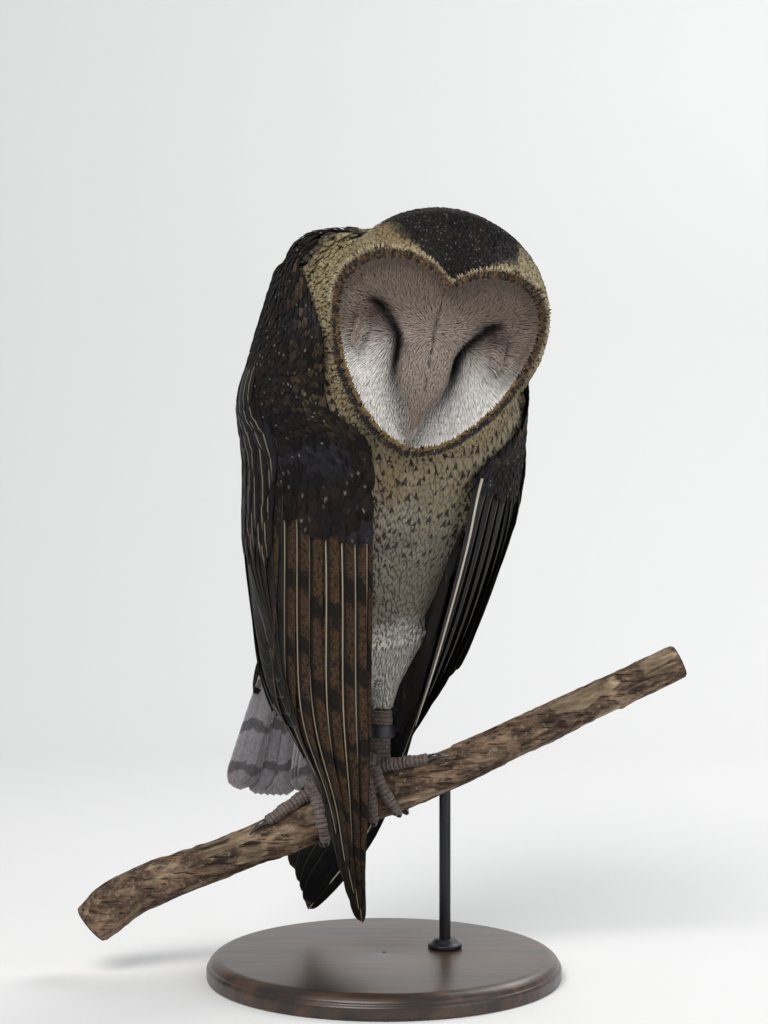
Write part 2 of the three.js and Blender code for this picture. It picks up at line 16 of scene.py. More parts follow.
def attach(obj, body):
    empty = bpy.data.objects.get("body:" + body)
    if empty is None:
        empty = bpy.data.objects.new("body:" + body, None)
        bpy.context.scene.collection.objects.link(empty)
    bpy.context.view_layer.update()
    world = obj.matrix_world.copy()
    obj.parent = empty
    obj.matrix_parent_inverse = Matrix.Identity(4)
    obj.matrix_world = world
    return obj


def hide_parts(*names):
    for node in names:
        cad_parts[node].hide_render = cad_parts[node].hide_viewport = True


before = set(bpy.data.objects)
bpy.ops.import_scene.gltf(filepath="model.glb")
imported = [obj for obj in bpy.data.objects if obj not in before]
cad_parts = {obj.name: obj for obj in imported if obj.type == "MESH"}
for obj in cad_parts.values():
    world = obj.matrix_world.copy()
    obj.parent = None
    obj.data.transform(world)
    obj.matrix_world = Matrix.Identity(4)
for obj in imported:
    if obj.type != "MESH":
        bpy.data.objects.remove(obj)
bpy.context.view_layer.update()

MM = 0.001
BODY = "root"
rng = np.random.default_rng(7)

# %% [markdown]
# ## Room and light
# A museum shows a mount before a plain pale sweep of paper, so that no edge shows behind it.
# The sweep is a profile, flat and then curved upwards, carried sideways. One large soft lamp
# from the upper left models the feathers, a weaker one fills the shade, and a third from
# behind picks the dark back out of the ground.

# %% Camera
CAMERA_AWAY, CAMERA_HEIGHT = 1.0, 0.241
FOCAL_IN_FRAME_HEIGHTS = 1923 / 1024
SENSOR_MM = 24.0


def added(name, data, place=(0, 0, 0)):
    """An object in the scene that holds a mesh, a lamp or a camera."""
    made = bpy.data.objects.new(name, data)
    bpy.context.collection.objects.link(made)
    made.location = place
    return made


camera = added("camera", bpy.data.cameras.new("camera"), (0.0, -CAMERA_AWAY, CAMERA_HEIGHT))
bpy.context.scene.camera = camera
camera.data.sensor_fit = "VERTICAL"
camera.data.sensor_height = SENSOR_MM
camera.data.lens = FOCAL_IN_FRAME_HEIGHTS * SENSOR_MM
camera.rotation_euler = (np.pi / 2, 0.0, 0.0)
camera.data.clip_start = 0.02
print("camera", CAMERA_AWAY, "m away, lens", round(camera.data.lens, 1), "mm")


# %% Small helpers for meshes
def add_mesh(name, points, quads=(), tris=(), uv=None):
    """A smooth mesh object from whole arrays. points is (n, 3), quads (m, 4), tris (k, 3), and
    uv maps a layer's name to one coordinate pair per point."""
    quads = np.asarray(quads, int).reshape(-1, 4)
    tris = np.asarray(tris, int).reshape(-1, 3)
    corners = np.concatenate([quads.ravel(), tris.ravel()])
    starts = np.concatenate([np.arange(len(quads)) * 4, quads.size + np.arange(len(tris)) * 3])
    mesh = bpy.data.meshes.new(name)
    mesh.vertices.add(len(points))
    mesh.vertices.foreach_set("co", np.asarray(points, np.float32).ravel())
    mesh.loops.add(len(corners))
    mesh.loops.foreach_set("vertex_index", corners.astype(np.int32))
    mesh.polygons.add(len(starts))
    mesh.polygons.foreach_set("loop_start", starts.astype(np.int32))
    mesh.update(calc_edges=True)
    mesh.polygons.foreach_set("use_smooth", np.ones(len(starts), bool))
    for layer, pairs in (uv or {}).items():
        made = mesh.uv_layers.new(name=layer)
        made.data.foreach_set("uv", np.asarray(pairs, np.float32)[corners].ravel())
    return added(name, mesh)


def grid_quads(rows, columns, wrap=False, count=1):
    """Corner numbers of the quads of count grids of rows by columns points, stored one after
    another. With wrap the last column joins the first."""
    r, c = np.meshgrid(np.arange(rows - 1), np.arange(columns if wrap else columns - 1), indexing="ij")
    a = r * columns + c
    b = r * columns + (c + 1) % columns
    return repeated(np.stack([a, b, b + columns, a + columns], -1).reshape(-1, 4), rows * columns, count)


def repeated(faces, points, count):
    """The faces of one shape, again for each of count copies stored one after another."""
    return (faces[None] + np.arange(count)[:, None, None] * points).reshape(-1, faces.shape[1])


def closed_tube(rings):
    """Points and outward faces of rings in a row, with both ends closed by fans round a hub."""
    rows, columns, _ = rings.shape
    points = np.concatenate([rings.reshape(-1, 3), [rings[0].mean(0), rings[-1].mean(0)]])
    quads = grid_quads(rows, columns, wrap=True)
    j = np.arange(columns)
    k = (j + 1) % columns
    hub, low = rows * columns, (rows - 1) * columns
    top = np.stack([0 * j + hub, k, j], 1)
    end = np.stack([0 * j + hub + 1, low + j, low + k], 1)
    tris = np.concatenate([top, end])
    middle = rows // 2
    first = points[quads[middle * columns]]
    facing = np.cross(first[1] - first[0], first[3] - first[0])
    outwards = facing @ (first.mean(0) - rings[middle:middle + 2].reshape(-1, 3).mean(0)) > 0
    return (points, quads, tris) if outwards else (points, quads[:, ::-1], tris[:, ::-1])


def give(piece, name, values):
    """One value, or one colour, per point, kept on the mesh for its material."""
    values = np.asarray(values, np.float32)
    kind, field = ("FLOAT", "value") if values.ndim == 1 else ("FLOAT_COLOR", "color")
    if values.shape[1:] == (3,):
        values = np.concatenate([values, np.ones_like(values[:, :1])], 1)
    piece.data.attributes.new(name, kind, "POINT").data.foreach_set(field, values.ravel())


def dress(piece, finish, slot, *nodes):
    """Gives a piece its finish; slot is not used. It rides on the body, and stands for the
    nodes that are named."""
    piece.data.materials.append(finish)
    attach(piece, BODY)
    if nodes:
        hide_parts(*nodes)


def unit(v):
    """Vectors at length one, along the last axis."""
    return v / np.maximum(np.linalg.norm(v, axis=-1, keepdims=True), 1e-12)


def smoothstep(x, low, high):
    """0 below low, 1 above high, and a smooth rise between."""
    t = np.clip((np.asarray(x, float) - low) / (high - low), 0, 1)
    return t * t * (3 - 2 * t)


def bell(x, wide):
    """1 at nought, falling to both sides like a bell."""
    return np.exp(-(x / wide) ** 2)


def along_rows(rows, t):
    """A smooth curve through evenly timed rows of numbers (Catmull-Rom), read at times t."""
    rows = np.asarray(rows, float)
    steps = len(rows) - 1
    at = np.clip(np.asarray(t, float), 0, 1) * steps
    i = np.minimum(at.astype(int), steps - 1)
    f = (at - i)[..., None]
    p, q, r, s = (rows[np.clip(i + k, 0, steps)] for k in (-1, 0, 1, 2))
    m, n, rise = (r - p) / 2, (s - q) / 2, r - q
    return q + f * (m + f * (3 * rise - 2 * m - n + f * (m + n - 2 * rise)))


def run_length(line):
    """Length along a line of points up to each of them."""
    return np.concatenate([[0], np.cumsum(np.linalg.norm(np.diff(line, axis=0), axis=1))])


print("helpers ready")

# %% Sweep of paper
SWEEP_HALF_WIDTH, SWEEP_FRONT, SWEEP_BACK, SWEEP_BEND, SWEEP_TOP = 2.6, -2.2, 0.9, 0.5, 2.6
bend = np.linspace(0, np.pi / 2, 17)
profile = np.concatenate([
    [[SWEEP_FRONT, 0.0]],
    np.stack([SWEEP_BACK + SWEEP_BEND * np.sin(bend), SWEEP_BEND * (1 - np.cos(bend))], 1),
    [[SWEEP_BACK + SWEEP_BEND, SWEEP_TOP]],
])
wide = np.linspace(-SWEEP_HALF_WIDTH, SWEEP_HALF_WIDTH, 5)
sweep_points = np.stack(np.broadcast_arrays(wide[None], profile[:, :1], profile[:, 1:]), -1)
add_mesh("paper_sweep", sweep_points.reshape(-1, 3), grid_quads(len(profile), 5))
print("sweep of", len(profile), "rows")

# %% Lamps
AIM = Vector((0.0, -0.02, 0.24))
for name, place, size, watts, colour in (
    ("key_lamp", (-0.55, -1.25, 1.45), 0.9, 26, (1.0, 0.985, 0.96)),
    ("fill_lamp", (1.5, -1.1, 0.7), 1.3, 9, (0.94, 0.97, 1.0)),
    ("back_lamp", (0.9, 0.75, 1.3), 0.8, 12, (1.0, 0.99, 0.97)),
):
    light = bpy.data.lights.new(name, "AREA")
    light.size, light.energy, light.color = size, watts, colour
    added(name, light, place).rotation_euler = (AIM - Vector(place)).to_track_quat("-Z", "Y").to_euler()
world = bpy.data.worlds.new("soft_room")
bpy.context.scene.world = world
world.use_nodes = True
sky = world.node_tree.nodes["Background"].inputs
sky["Color"].default_value = (0.80, 0.83, 0.86, 1)
sky["Strength"].default_value = 0.42
bpy.context.scene.view_settings.view_transform = "Standard"
print("three lamps and a soft room")

# %% [markdown]
# ## Frames of the head and the body
# Everything on the owl is easier to place in its own directions than in the room's: ahead and
# leftward on the body, across, up and out of the face on the head. Both come from the same few
# numbers as the solids.

# %% Body and head directions
BODY_YAW = np.radians(34)
PERCH = np.array([-16, 10, 102]) * MM
DISC_AT = np.array([21.2, -92, 309]) * MM
DISC_YAW, DISC_DOWN, DISC_ROLL = np.radians([6, 18, 11.5])
AHEAD = np.array([np.sin(BODY_YAW), -np.cos(BODY_YAW), 0.0])
LEFTWARD = np.array([np.cos(BODY_YAW), np.sin(BODY_YAW), 0.0])
UP = np.array([0.0, 0.0, 1.0])
level = np.array([np.sin(DISC_YAW), -np.cos(DISC_YAW), 0.0])
FACE = level * np.cos(DISC_DOWN) - UP * np.sin(DISC_DOWN)
LEVEL_UP = unit(UP - FACE * FACE[2])
CROWN = LEVEL_UP * np.cos(DISC_ROLL) - np.cross(FACE, LEVEL_UP) * np.sin(DISC_ROLL)
CHEEK = np.cross(CROWN, FACE)


def in_head(p):
    """Points as across, up and out of the face's disc."""
    d = p - DISC_AT
    return np.stack([d @ CHEEK, d @ CROWN, d @ FACE], -1)


def on_head(q):
    """The way back from across, up and out to the room."""
    return DISC_AT + q[..., :1] * CHEEK + q[..., 1:2] * CROWN + q[..., 2:3] * FACE


def in_body(p):
    """Points as forward, left and height over the perch."""
    d = p - PERCH
    return np.stack([d @ AHEAD, d @ LEFTWARD, d[..., 2]], -1)


def on_body(q):
    """The way back from forward, left and height to the room."""
    return PERCH + q[..., :1] * AHEAD + q[..., 1:2] * LEFTWARD + q[..., 2:3] * UP


print("the face looks along", FACE.round(3))

# %% [markdown]
# ## The relief of the face
# An owl's face is a shallow heart-shaped dish, folded in two along a ridge that ends in the
# bill. With the eyes closed each one is only a deep slit beside the ridge. That relief is a
# height over the face's disc, so it is written as one formula of across and up. The skin, the
# barbs on it and the ruff round it all read that formula, so none of them can drift apart.

# %% Height of the face over its disc
HEART = [[0, 40], [12, 48], [26, 50.5], [40, 46], [49, 34], [49.5, 19], [44, 1], [33, -18],
         [17, -34], [0, -41]]
SLIT = [[36, 24.4], [30, 24.8], [24, 22.6], [19, 18], [15.2, 13], [13.7, 7.4], [13.4, 1.5], [13, -4.2],
        [11, -11.4], [7.5, -19], [4, -27], [1.5, -33]]
MIDDLE_ACROSS = -2.0
HEART_MIDDLE = np.array([0.0, 8.0])
slit_line = along_rows(SLIT, np.linspace(0, 1, 67))
heart_line = along_rows(HEART, np.linspace(0, 1, 91)) - HEART_MIDDLE
heart_turn = np.arctan2(heart_line[:, 0], heart_line[:, 1])
heart_reach = np.hypot(heart_line[:, 0], heart_line[:, 1])


def heart_share(across, up):
    """How far out a point of the face is: 0 at the middle, 1 on the heart-shaped edge. The
    distance from the middle is divided by the edge's distance in the same direction."""
    up = up - HEART_MIDDLE[1]
    return np.hypot(across, up) / np.interp(np.arctan2(np.abs(across), up), heart_turn, heart_reach)


def slit_place(across, up):
    """Distance from the nearer slit in mm, negative on the lobe's side and positive on the
    ridge's, and where along the slit that is, from its outer end 0 to the bill 1."""
    side = np.abs(across - MIDDLE_ACROSS)
    away = np.hypot(side[..., None] - slit_line[:, 0], up[..., None] - slit_line[:, 1])
    at = np.argmin(away, -1)
    near = np.take_along_axis(away, at[..., None], -1)[..., 0]
    on = slit_line[at]
    ridge_side = (side < on[..., 0]) | (up > on[..., 1] + 2)
    return np.where(ridge_side, near, -near), at / (len(slit_line) - 1)


def face_height(across, up):
    """Millimetres out of the disc's plane: hollow lobes, minus the square of the distance from
    the middle, blended into a ridge that rises to the bill, minus a groove shaped like a bell
    along each slit, deep at the eye and fading downwards."""
    across, up = np.asarray(across, float), np.asarray(up, float)
    side = np.abs(across - MIDDLE_ACROSS)
    away, along = slit_place(across, up)
    ridge = 1 + 10 * (1 - smoothstep(up, -8, 40)) - (side / 22) ** 2 * 3
    hollow = 1.5 - 0.0042 * side**2 + 1.8 * np.exp(-((side - 24) / 13) ** 2 - ((up + 4) / 17) ** 2)
    on_ridge = 0.5 + 0.5 * np.tanh(away / 2.6)
    body = hollow + (np.maximum(ridge, hollow - 1) - hollow) * on_ridge * smoothstep(up, -42, -28)
    deep = smoothstep(along, 0, 0.14) * (1 - 0.85 * smoothstep(along, 0.5, 0.9))
    rim = 3.5 * smoothstep(heart_share(across, up), 0.86, 0.96)
    return body - 8.0 * deep * bell(away, 2.3) + rim


print("ridge", face_height(-2.0, -10.0).round(1), "mm out, slit", face_height(16.0, 18.0).round(1), "mm")

# %% [markdown]
# ## Skin
# One skin has to run from the crown to the thighs with no seam. Modelling it from scratch would
# repeat the solids, so copies of them are swollen until they meet, fused by a voxel remesh,
# smoothed, and drawn in by the depth of the coat that will lie on them. The coat is thinnest on
# the face, where the fine folds are, and deepest on the body.

# %% Fuse copies of the solids
FLESH = ["head", "neck", "trunk", "rump", "thigh_right", "thigh_left",
         "wing_right_coverts", "wing_left_coverts"]
SOCKETS = ["eye_right", "eye_left", "bill"]
SWELL = 0.6 * MM
VOXEL = 1.5 * MM
NO_QUADS = np.zeros((0, 4), int)


def corners_of(mesh):
    """Point places and triangle corners of a mesh, with doubled points merged."""
    co = np.empty(len(mesh.vertices) * 3)
    mesh.vertices.foreach_get("co", co)
    co = co.reshape(-1, 3)
    mesh.calc_loop_triangles()
    tri = np.empty(len(mesh.loop_triangles) * 3, int)
    mesh.loop_triangles.foreach_get("vertices", tri)
    key, back = np.unique(np.round(co / 1e-6).astype(np.int64), axis=0, return_inverse=True)
    merged = np.zeros((len(key), 3))
    merged[back.ravel()] = co
    tri = back.ravel()[tri].reshape(-1, 3)
    return merged, tri[(tri != np.roll(tri, 1, 1)).all(1)]


def point_normals(co, tri):
    """Normals at points: the sum of the area vectors of the triangles round each."""
    area = np.cross(co[tri[:, 1]] - co[tri[:, 0]], co[tri[:, 2]] - co[tri[:, 0]])
    total = np.zeros_like(co)
    for k, axis in np.ndindex(3, 3):
        total[:, axis] += np.bincount(tri[:, k], area[:, axis], len(co))
    return unit(total)


def fused(parts, voxel, **smooth):
    """Points and quads of one closed surface round all parts, each given as points, quads and
    triangles: a voxel remesh, then smoothing where its settings are given."""
    points, quads, tris = zip(*parts)
    starts = np.cumsum([0] + [len(p) for p in points])
    rough = add_mesh("rough", np.concatenate(points), np.concatenate([q + k for q, k in zip(quads, starts)]),
                     np.concatenate([t + k for t, k in zip(tris, starts)]))
    steps = [("REMESH", {"mode": "VOXEL", "voxel_size": voxel, "adaptivity": 0}), ("SMOOTH", smooth)]
    for kind, settings in steps[:1 + bool(smooth)]:
        modifier = rough.modifiers.new(kind, kind)
        for label, value in settings.items():
            setattr(modifier, label, value)
    mesh = bpy.data.meshes.new_from_object(rough.evaluated_get(bpy.context.evaluated_depsgraph_get()))
    co = np.empty(len(mesh.vertices) * 3)
    mesh.vertices.foreach_get("co", co)
    corners = np.empty(len(mesh.loops), np.int32)
    mesh.loops.foreach_get("vertex_index", corners)
    bpy.data.objects.remove(rough)
    return co.reshape(-1, 3), corners.reshape(-1, 4)


solids = []
for node in FLESH + SOCKETS:
    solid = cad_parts[node]
    co, tri = corners_of(solid.data)
    matrix = np.array(solid.matrix_world)
    co = co @ matrix[:3, :3].T + matrix[:3, 3]
    solids.append((co + SWELL * point_normals(co, tri), NO_QUADS, tri))
skin_at, skin_quads = fused(solids, VOXEL)
print("fused skin:", len(skin_at), "points", len(skin_quads), "quads")

# %% [markdown]
# ### Smoothing and the depth of the coat
# A voxel remesh leaves small steps. Moving each point towards the mean of its neighbours wears
# them down, and doing that with a push back every second time keeps the form from shrinking
# (Taubin's way). A ray shot inwards from each point measures how thick the body is there, so
# that a thin edge of a wing isn't drawn in past its own middle. The face gets its heights from
# the formula, less the depth of its coat.

# %% Smooth the skin and draw it in
FACE_COAT, HEAD_COAT, BODY_COAT = 1.1 * MM, 1.8 * MM, 2.6 * MM
THIN_SHARE = 0.28
SKULL_AT = np.array([5.0, 16.0, -38.0]) * MM
SKULL_HALF = np.array([56.0, 56.0, 50.0]) * MM
edges = np.concatenate([skin_quads[:, [k, (k + 1) % 4]] for k in range(4)])
edges = np.unique(np.sort(edges, 1), axis=0)
neighbours = np.bincount(edges.ravel(), minlength=len(skin_at))


def evened(values, times, step=0.5, back=-0.52):
    """Values per skin point moved towards the mean of their neighbours and part way back."""
    values = values.copy()
    flat = values.reshape(len(values), -1)
    for turn in range(2 * times):
        total = np.stack([
            np.bincount(edges[:, 0], column[edges[:, 1]], len(flat))
            + np.bincount(edges[:, 1], column[edges[:, 0]], len(flat))
            for column in flat.T
        ], 1)
        flat += (step if turn % 2 == 0 else back) * (total / neighbours[:, None] - flat)
    return flat.reshape(values.shape)


def in_face(p):
    """1 on the facial disc and 0 away from it, by the share of the heart and the distance
    from the disc's plane."""
    q = in_head(p) / MM
    return smoothstep(q[:, 2], -16, -8) * smoothstep(heart_share(q[:, 0], q[:, 1]), 1.02, 0.94)


face_share = in_face(skin_at)
gentle, strong = evened(skin_at, 3), evened(skin_at, 14)
skin_at = gentle * face_share[:, None] + strong * (1 - face_share[:, None])
skin_tris = np.concatenate([skin_quads[:, [0, 1, 2]], skin_quads[:, [0, 2, 3]]])
skin_out = point_normals(skin_at, skin_tris)
swollen = BVHTree.FromPolygons(skin_at.tolist(), skin_tris.tolist())
thickness = np.array([
    (swollen.ray_cast(Vector(p - 0.2 * MM * n), Vector(-n))[3] or 1.0)
    for p, n in zip(skin_at, skin_out)
])
from_skull = np.linalg.norm((in_head(skin_at) - SKULL_AT) / SKULL_HALF, axis=1)
coat_depth = BODY_COAT + (HEAD_COAT - BODY_COAT) * smoothstep(from_skull, 1.2, 1.05)
coat_depth += (FACE_COAT - coat_depth) * face_share
coat_depth = evened(np.minimum(coat_depth, THIN_SHARE * thickness), 4, back=0.0)
skin_at = evened(skin_at - skin_out * (coat_depth + SWELL)[:, None], 1)

face_now = in_head(skin_at)
wanted = face_height(face_now[:, 0] / MM, face_now[:, 1] / MM) * MM - FACE_COAT
face_now[:, 2] += in_face(skin_at) * (wanted - face_now[:, 2])
skin_at = on_head(face_now)
skin_out = point_normals(skin_at, skin_tris)
skin = add_mesh("skin", skin_at, skin_quads)
skin_tree = BVHTree.FromPolygons(skin_at.tolist(), skin_tris.tolist())
print("skin drawn in by", round(coat_depth.min() / MM, 2), "to", round(coat_depth.max() / MM, 2), "mm")

# %% [markdown]
# ## Markings
# The sooty owls of this family are dark grey above, buff with small dark spots below and white
# on the belly and legs. The marking is a fixed map of the body, so it is written once, as
# colours worked out from a point's place on the head and the body. The skin and every feather
# read it, and so they always agree. Painting a texture would tie the colours to one view.

# %% Colours and a noise of one's own
def paint(code):
    """A colour code of two hex digits per channel as linear red, green and blue."""
    v = np.array([int(code[k:k + 2], 16) for k in (1, 3, 5)]) / 255
    return np.where(v <= 0.04045, v / 12.92, ((v + 0.055) / 1.055) ** 2.4)


def grain(p, size, seed=0):
    """Smooth noise from -1 to 1. Each corner of a lattice with cells of one size gets a
    scrambled number, and a point blends the eight corners round it."""
    at = np.asarray(p, float) / size + seed * 17.31
    cell = np.floor(at).astype(np.int64)
    f = at - cell
    f = f * f * (3 - 2 * f)
    total = 0.0
    for corner in np.ndindex(2, 2, 2):
        c = cell + corner
        mixed = (c[..., 0] * 73856093) ^ (c[..., 1] * 19349663) ^ (c[..., 2] * 83492791)
        mixed = (mixed ^ (mixed >> 13)) * 1274126177
        value = ((mixed ^ (mixed >> 16)) & 0xFFFF) / 32767.5 - 1
        total = total + np.prod(np.where(corner, f, 1 - f), -1) * value
    return total


def flat_grain(a, b, size, seed):
    """The noise over two lengths."""
    return grain(np.stack([a, b, 0 * b], -1), size, seed)


def blend(a, b, share):
    """From colour a to colour b by a share per point. A colour may be given by its code."""
    a, b = (paint(c) if isinstance(c, str) else c for c in (a, b))
    share = np.asarray(share, float)[..., None]
    return a * (1 - share) + b * share


SOOT, SOOT_BROWN, SPOT = "#151418", "#241c17", "#1d1612"
# The breast colour is partly painted shadow under the head, and the ash of the belly partly painted shade.
BUFF, BUFF_PALE, BUFF_RUST, BREAST_AND_SHADOW = "#938463", "#a29678", "#6f5836", "#8b7f67"
WHITE, ASH_AND_SHADE = "#cfcbc1", "#716b62"
print("soot", paint(SOOT).round(3), "buff", paint(BUFF).round(3))


# %% Where each colour lies
def skull_angles(p):
    """Turn round the face's axis from the crown, in degrees, positive to the owl's left, the
    angle away from that axis, and the share of the skull's size, all from its middle."""
    d = (in_head(p) - SKULL_AT) / SKULL_HALF
    size = np.maximum(np.linalg.norm(d, axis=-1), 1e-9)
    turn = np.degrees(np.arctan2(d[..., 0], d[..., 1]))
    return turn, np.degrees(np.arccos(np.clip(d[..., 2] / size, -1, 1))), size


def soot_share(p):
    """Soot covers the crown inside a turn that widens from the face to the nape, and the back
    beyond an angle from straight ahead, with the nape between them."""
    turn, polar, size = skull_angles(p)
    wobble = 4 * grain(p, 9 * MM, 1) + 3 * grain(p, 3 * MM, 2)
    width = np.interp(polar, [40, 50, 62, 80, 105, 125, 150], [27, 27, 34, 37, 42, 70, 180])
    crown = smoothstep(np.abs(turn + 2) + wobble, width + 4, width - 4)
    reach = np.minimum(width, np.where(turn > 0, 84, 60))
    nape = smoothstep(np.abs(turn - 6) + wobble, reach + 7, reach - 7)
    nape = nape * smoothstep(size, 1.8, 1.55) * smoothstep(polar, 72, 92)
    ahead, left, height = np.moveaxis(in_body(p) / MM, -1, 0)
    middle = np.interp(height, [46, 90, 138, 205, 280], [-2, 7, 23, 36, 29])
    bearing = np.degrees(np.arctan2(np.abs(left), ahead - middle))
    limit = np.interp(height, [60, 130, 190, 225, 245, 262, 274], [118, 100, 84, 90, 86, 74, 20])
    limit = limit - 56 * smoothstep(left, 4, 20) * smoothstep(height, 222, 246)
    back = smoothstep(bearing + 1.5 * wobble, limit - 7, limit + 7)
    on_skull = smoothstep(size, 1.28, 1.08)
    return np.maximum(np.maximum(crown * on_skull, nape), back * (1 - on_skull)), on_skull


def plumage(p):
    """Colour at each point, and the share of soot. The top of the breast is darker, partly painted shadow
    under the head. Below the breast the buff turns to a grey that is partly painted shade, and then to white.
    """
    soot, on_skull = soot_share(p)
    height = in_body(p)[..., 2] / MM
    white = smoothstep(height + 4 * grain(p, 14 * MM, 3), 88, 66)
    # pale is the share of the grey belly below the breast; its ash grey is partly painted shade.
    pale = smoothstep(height + 10 * grain(p, 12 * MM, 4), 152, 116)
    colour = blend(BUFF, BUFF_PALE, 0.5 + 0.5 * grain(p, 9 * MM, 5))
    # The top of the breast under the slumped head is darker than the buff: partly its own colour, partly
    # painted shadow of the head.
    colour = blend(colour, BREAST_AND_SHADOW, smoothstep(height, 232, 200) * (1 - on_skull))
    colour = blend(colour, BUFF_RUST, 0.55 * smoothstep(grain(p, 16 * MM, 6), 0.2, 0.8) * (1 - pale))
    colour = blend(colour, ASH_AND_SHADE, 0.75 * pale)
    cloudy = 0.14 * pale * smoothstep(grain(p, 15 * MM, 7), -0.2, 0.6)
    colour = blend(colour, WHITE, np.maximum(cloudy, white))
    return blend(colour, blend(SOOT, SOOT_BROWN, 0.5 + 0.5 * grain(p, 8 * MM, 8)), soot), soot


print("share of soot over the skin", plumage(skin_at)[1].mean().round(2))

# %% [markdown]
# ## Finishes
# A feather is a row of barbs that leave its shaft at a slant, so it reflects light in fine
# lines. That is a bump made of those lines, worked out from the feather's own map: across from
# edge to edge, along from root to tip. The lines and the spots are used by many finishes, so
# each is a shader node group with named inputs. Nodes are long to write one by one, so a small
# class lets their outputs be added and multiplied as numbers are.

# %% Tools for node trees
def join(tree, value, socket):
    """Links a wire to an input, or writes a number, a vector or a colour code into it."""
    if isinstance(value, Wire):
        tree.links.new(value.socket, socket)
    else:
        socket.default_value = (*paint(value), 1) if isinstance(value, str) else value


def add_node(tree, kind, inputs=(), output=0, **settings):
    """A node with its settings and inputs given, and one of its outputs as a wire."""
    node = tree.nodes.new("ShaderNode" + kind)
    for label, value in settings.items():
        setattr(node, label, value)
    for key, value in dict(inputs).items():
        join(tree, value, node.inputs[key])
    return Wire(tree, node.outputs[output])


class Wire:
    """An output of a node. Arithmetic on it adds Math nodes."""

    def __init__(self, tree, socket):
        self.tree, self.socket = tree, socket

    def maths(self, kind, *others):
        return add_node(self.tree, "Math", enumerate((self, *others)), operation=kind)

    def __add__(self, other):
        return self.maths("ADD", other)

    def __sub__(self, other):
        return self.maths("SUBTRACT", other)

    def __rsub__(self, other):
        return add_node(self.tree, "Math", {0: other, 1: self}, operation="SUBTRACT")

    def __mul__(self, other):
        return self.maths("MULTIPLY", other)

    def __truediv__(self, other):
        return self.maths("DIVIDE", other)

    def __abs__(self):
        return self.maths("ABSOLUTE")

    def times_plus(self, factor, more):
        return self.maths("MULTIPLY_ADD", factor, more)

    def rise(self, low, high, to_low=0.0, to_high=1.0):
        """A smooth rise of this value between two limits."""
        values = enumerate((self, low, high, to_low, to_high))
        return add_node(self.tree, "MapRange", values, interpolation_type="SMOOTHSTEP")

    def between(self, a, b):
        """Colour a turned into colour b by this share."""
        return add_node(self.tree, "Mix", {0: self, 6: a, 7: b}, 2, data_type="RGBA")

    def times(self, *grey):
        """This colour multiplied by another."""
        return add_node(self.tree, "Mix", {0: 1.0, 6: self, 7: (*grey, 1)}, 2, data_type="RGBA",
                        blend_type="MULTIPLY")

    def under(self, *layers):
        """This colour with layers of (share, colour) laid over it in turn."""
        colour = self
        for share, layer in layers:
            colour = share.between(colour, layer)
        return colour

    def scaled(self, *factors):
        """This vector with its three parts multiplied."""
        return add_node(self.tree, "VectorMath", {0: self, 1: factors}, operation="MULTIPLY")

    def noise(self, scale=1.0, detail=2.0, rough=0.5):
        """Noise of a size, read at this vector."""
        inputs = {"Vector": self, "Scale": scale, "Detail": detail, "Roughness": rough}
        return add_node(self.tree, "TexNoise", inputs, "Fac")

    def all_outputs(self):
        """Every output of this wire's node."""
        return [Wire(self.tree, socket) for socket in self.socket.node.outputs]

    def parts(self):
        """The three parts of this vector."""
        return add_node(self.tree, "SeparateXYZ", {0: self}).all_outputs()


class Finish:
    """A material with one Principled shader, whose even values are set on the shader itself.
    place is its Object coordinates."""

    def __init__(self, name, roughness, **constants):
        self.material = bpy.data.materials.new(name)
        self.material.use_nodes = True
        self.tree = self.material.node_tree
        self.shader = self.tree.nodes["Principled BSDF"].inputs
        for label, value in {"Roughness": roughness, **constants}.items():
            self.shader[label.replace("_", " ")].default_value = value
        self.place = add_node(self.tree, "TexCoord", output="Object")

    def kept(self, name, output="Fac"):
        """A value kept on the mesh."""
        return add_node(self.tree, "Attribute", output=output, attribute_name=name)

    def own_map(self):
        """Across from -1 to 1 and along from 0 to 1, from the feather's own map."""
        across, along, _ = add_node(self.tree, "UVMap", uv_map="UVMap").parts()
        return across.times_plus(2.0, -1.0), along

    def placed(self, group, **values):
        """The outputs of a group, with its inputs linked or set."""
        return add_node(self.tree, "Group", values, node_tree=group).all_outputs()

    def done(self, colour, height, distance, strength):
        """The material, once its colour is set and a bump of so many millimetres."""
        join(self.tree, colour, self.shader["Base Color"])
        bump = {"Strength": strength, "Distance": distance * MM, "Height": height}
        join(self.tree, add_node(self.tree, "Bump", bump), self.shader["Normal"])
        return self.material


def two_tone(name, roughness, codes, stretch, detail, bump, strength, **constants):
    """A finish between two colours by one stretched noise, which gives the bump too."""
    made = Finish(name, roughness, **constants)
    streak = made.place.scaled(*stretch).noise(1.0, detail, 0.6)
    return made.done(streak.between(*codes), streak, bump, strength)


def add_group(name, inputs, outputs):
    """A shader node group with number inputs, or vector ones where None is given, and number
    outputs: its tree, its inputs as wires, and the sockets of its outputs."""
    tree = bpy.data.node_groups.new(name, "ShaderNodeTree")
    for label, value in inputs.items():
        kind = "NodeSocketVector" if value is None else "NodeSocketFloat"
        socket = tree.interface.new_socket(label, in_out="INPUT", socket_type=kind)
        if value is not None:
            socket.default_value = value
    for label in outputs:
        tree.interface.new_socket(label, in_out="OUTPUT", socket_type="NodeSocketFloat")
    given = tree.nodes.new("NodeGroupInput").outputs
    return tree, [Wire(tree, given[label]) for label in inputs], tree.nodes.new("NodeGroupOutput").inputs


print("tools for finishes ready")

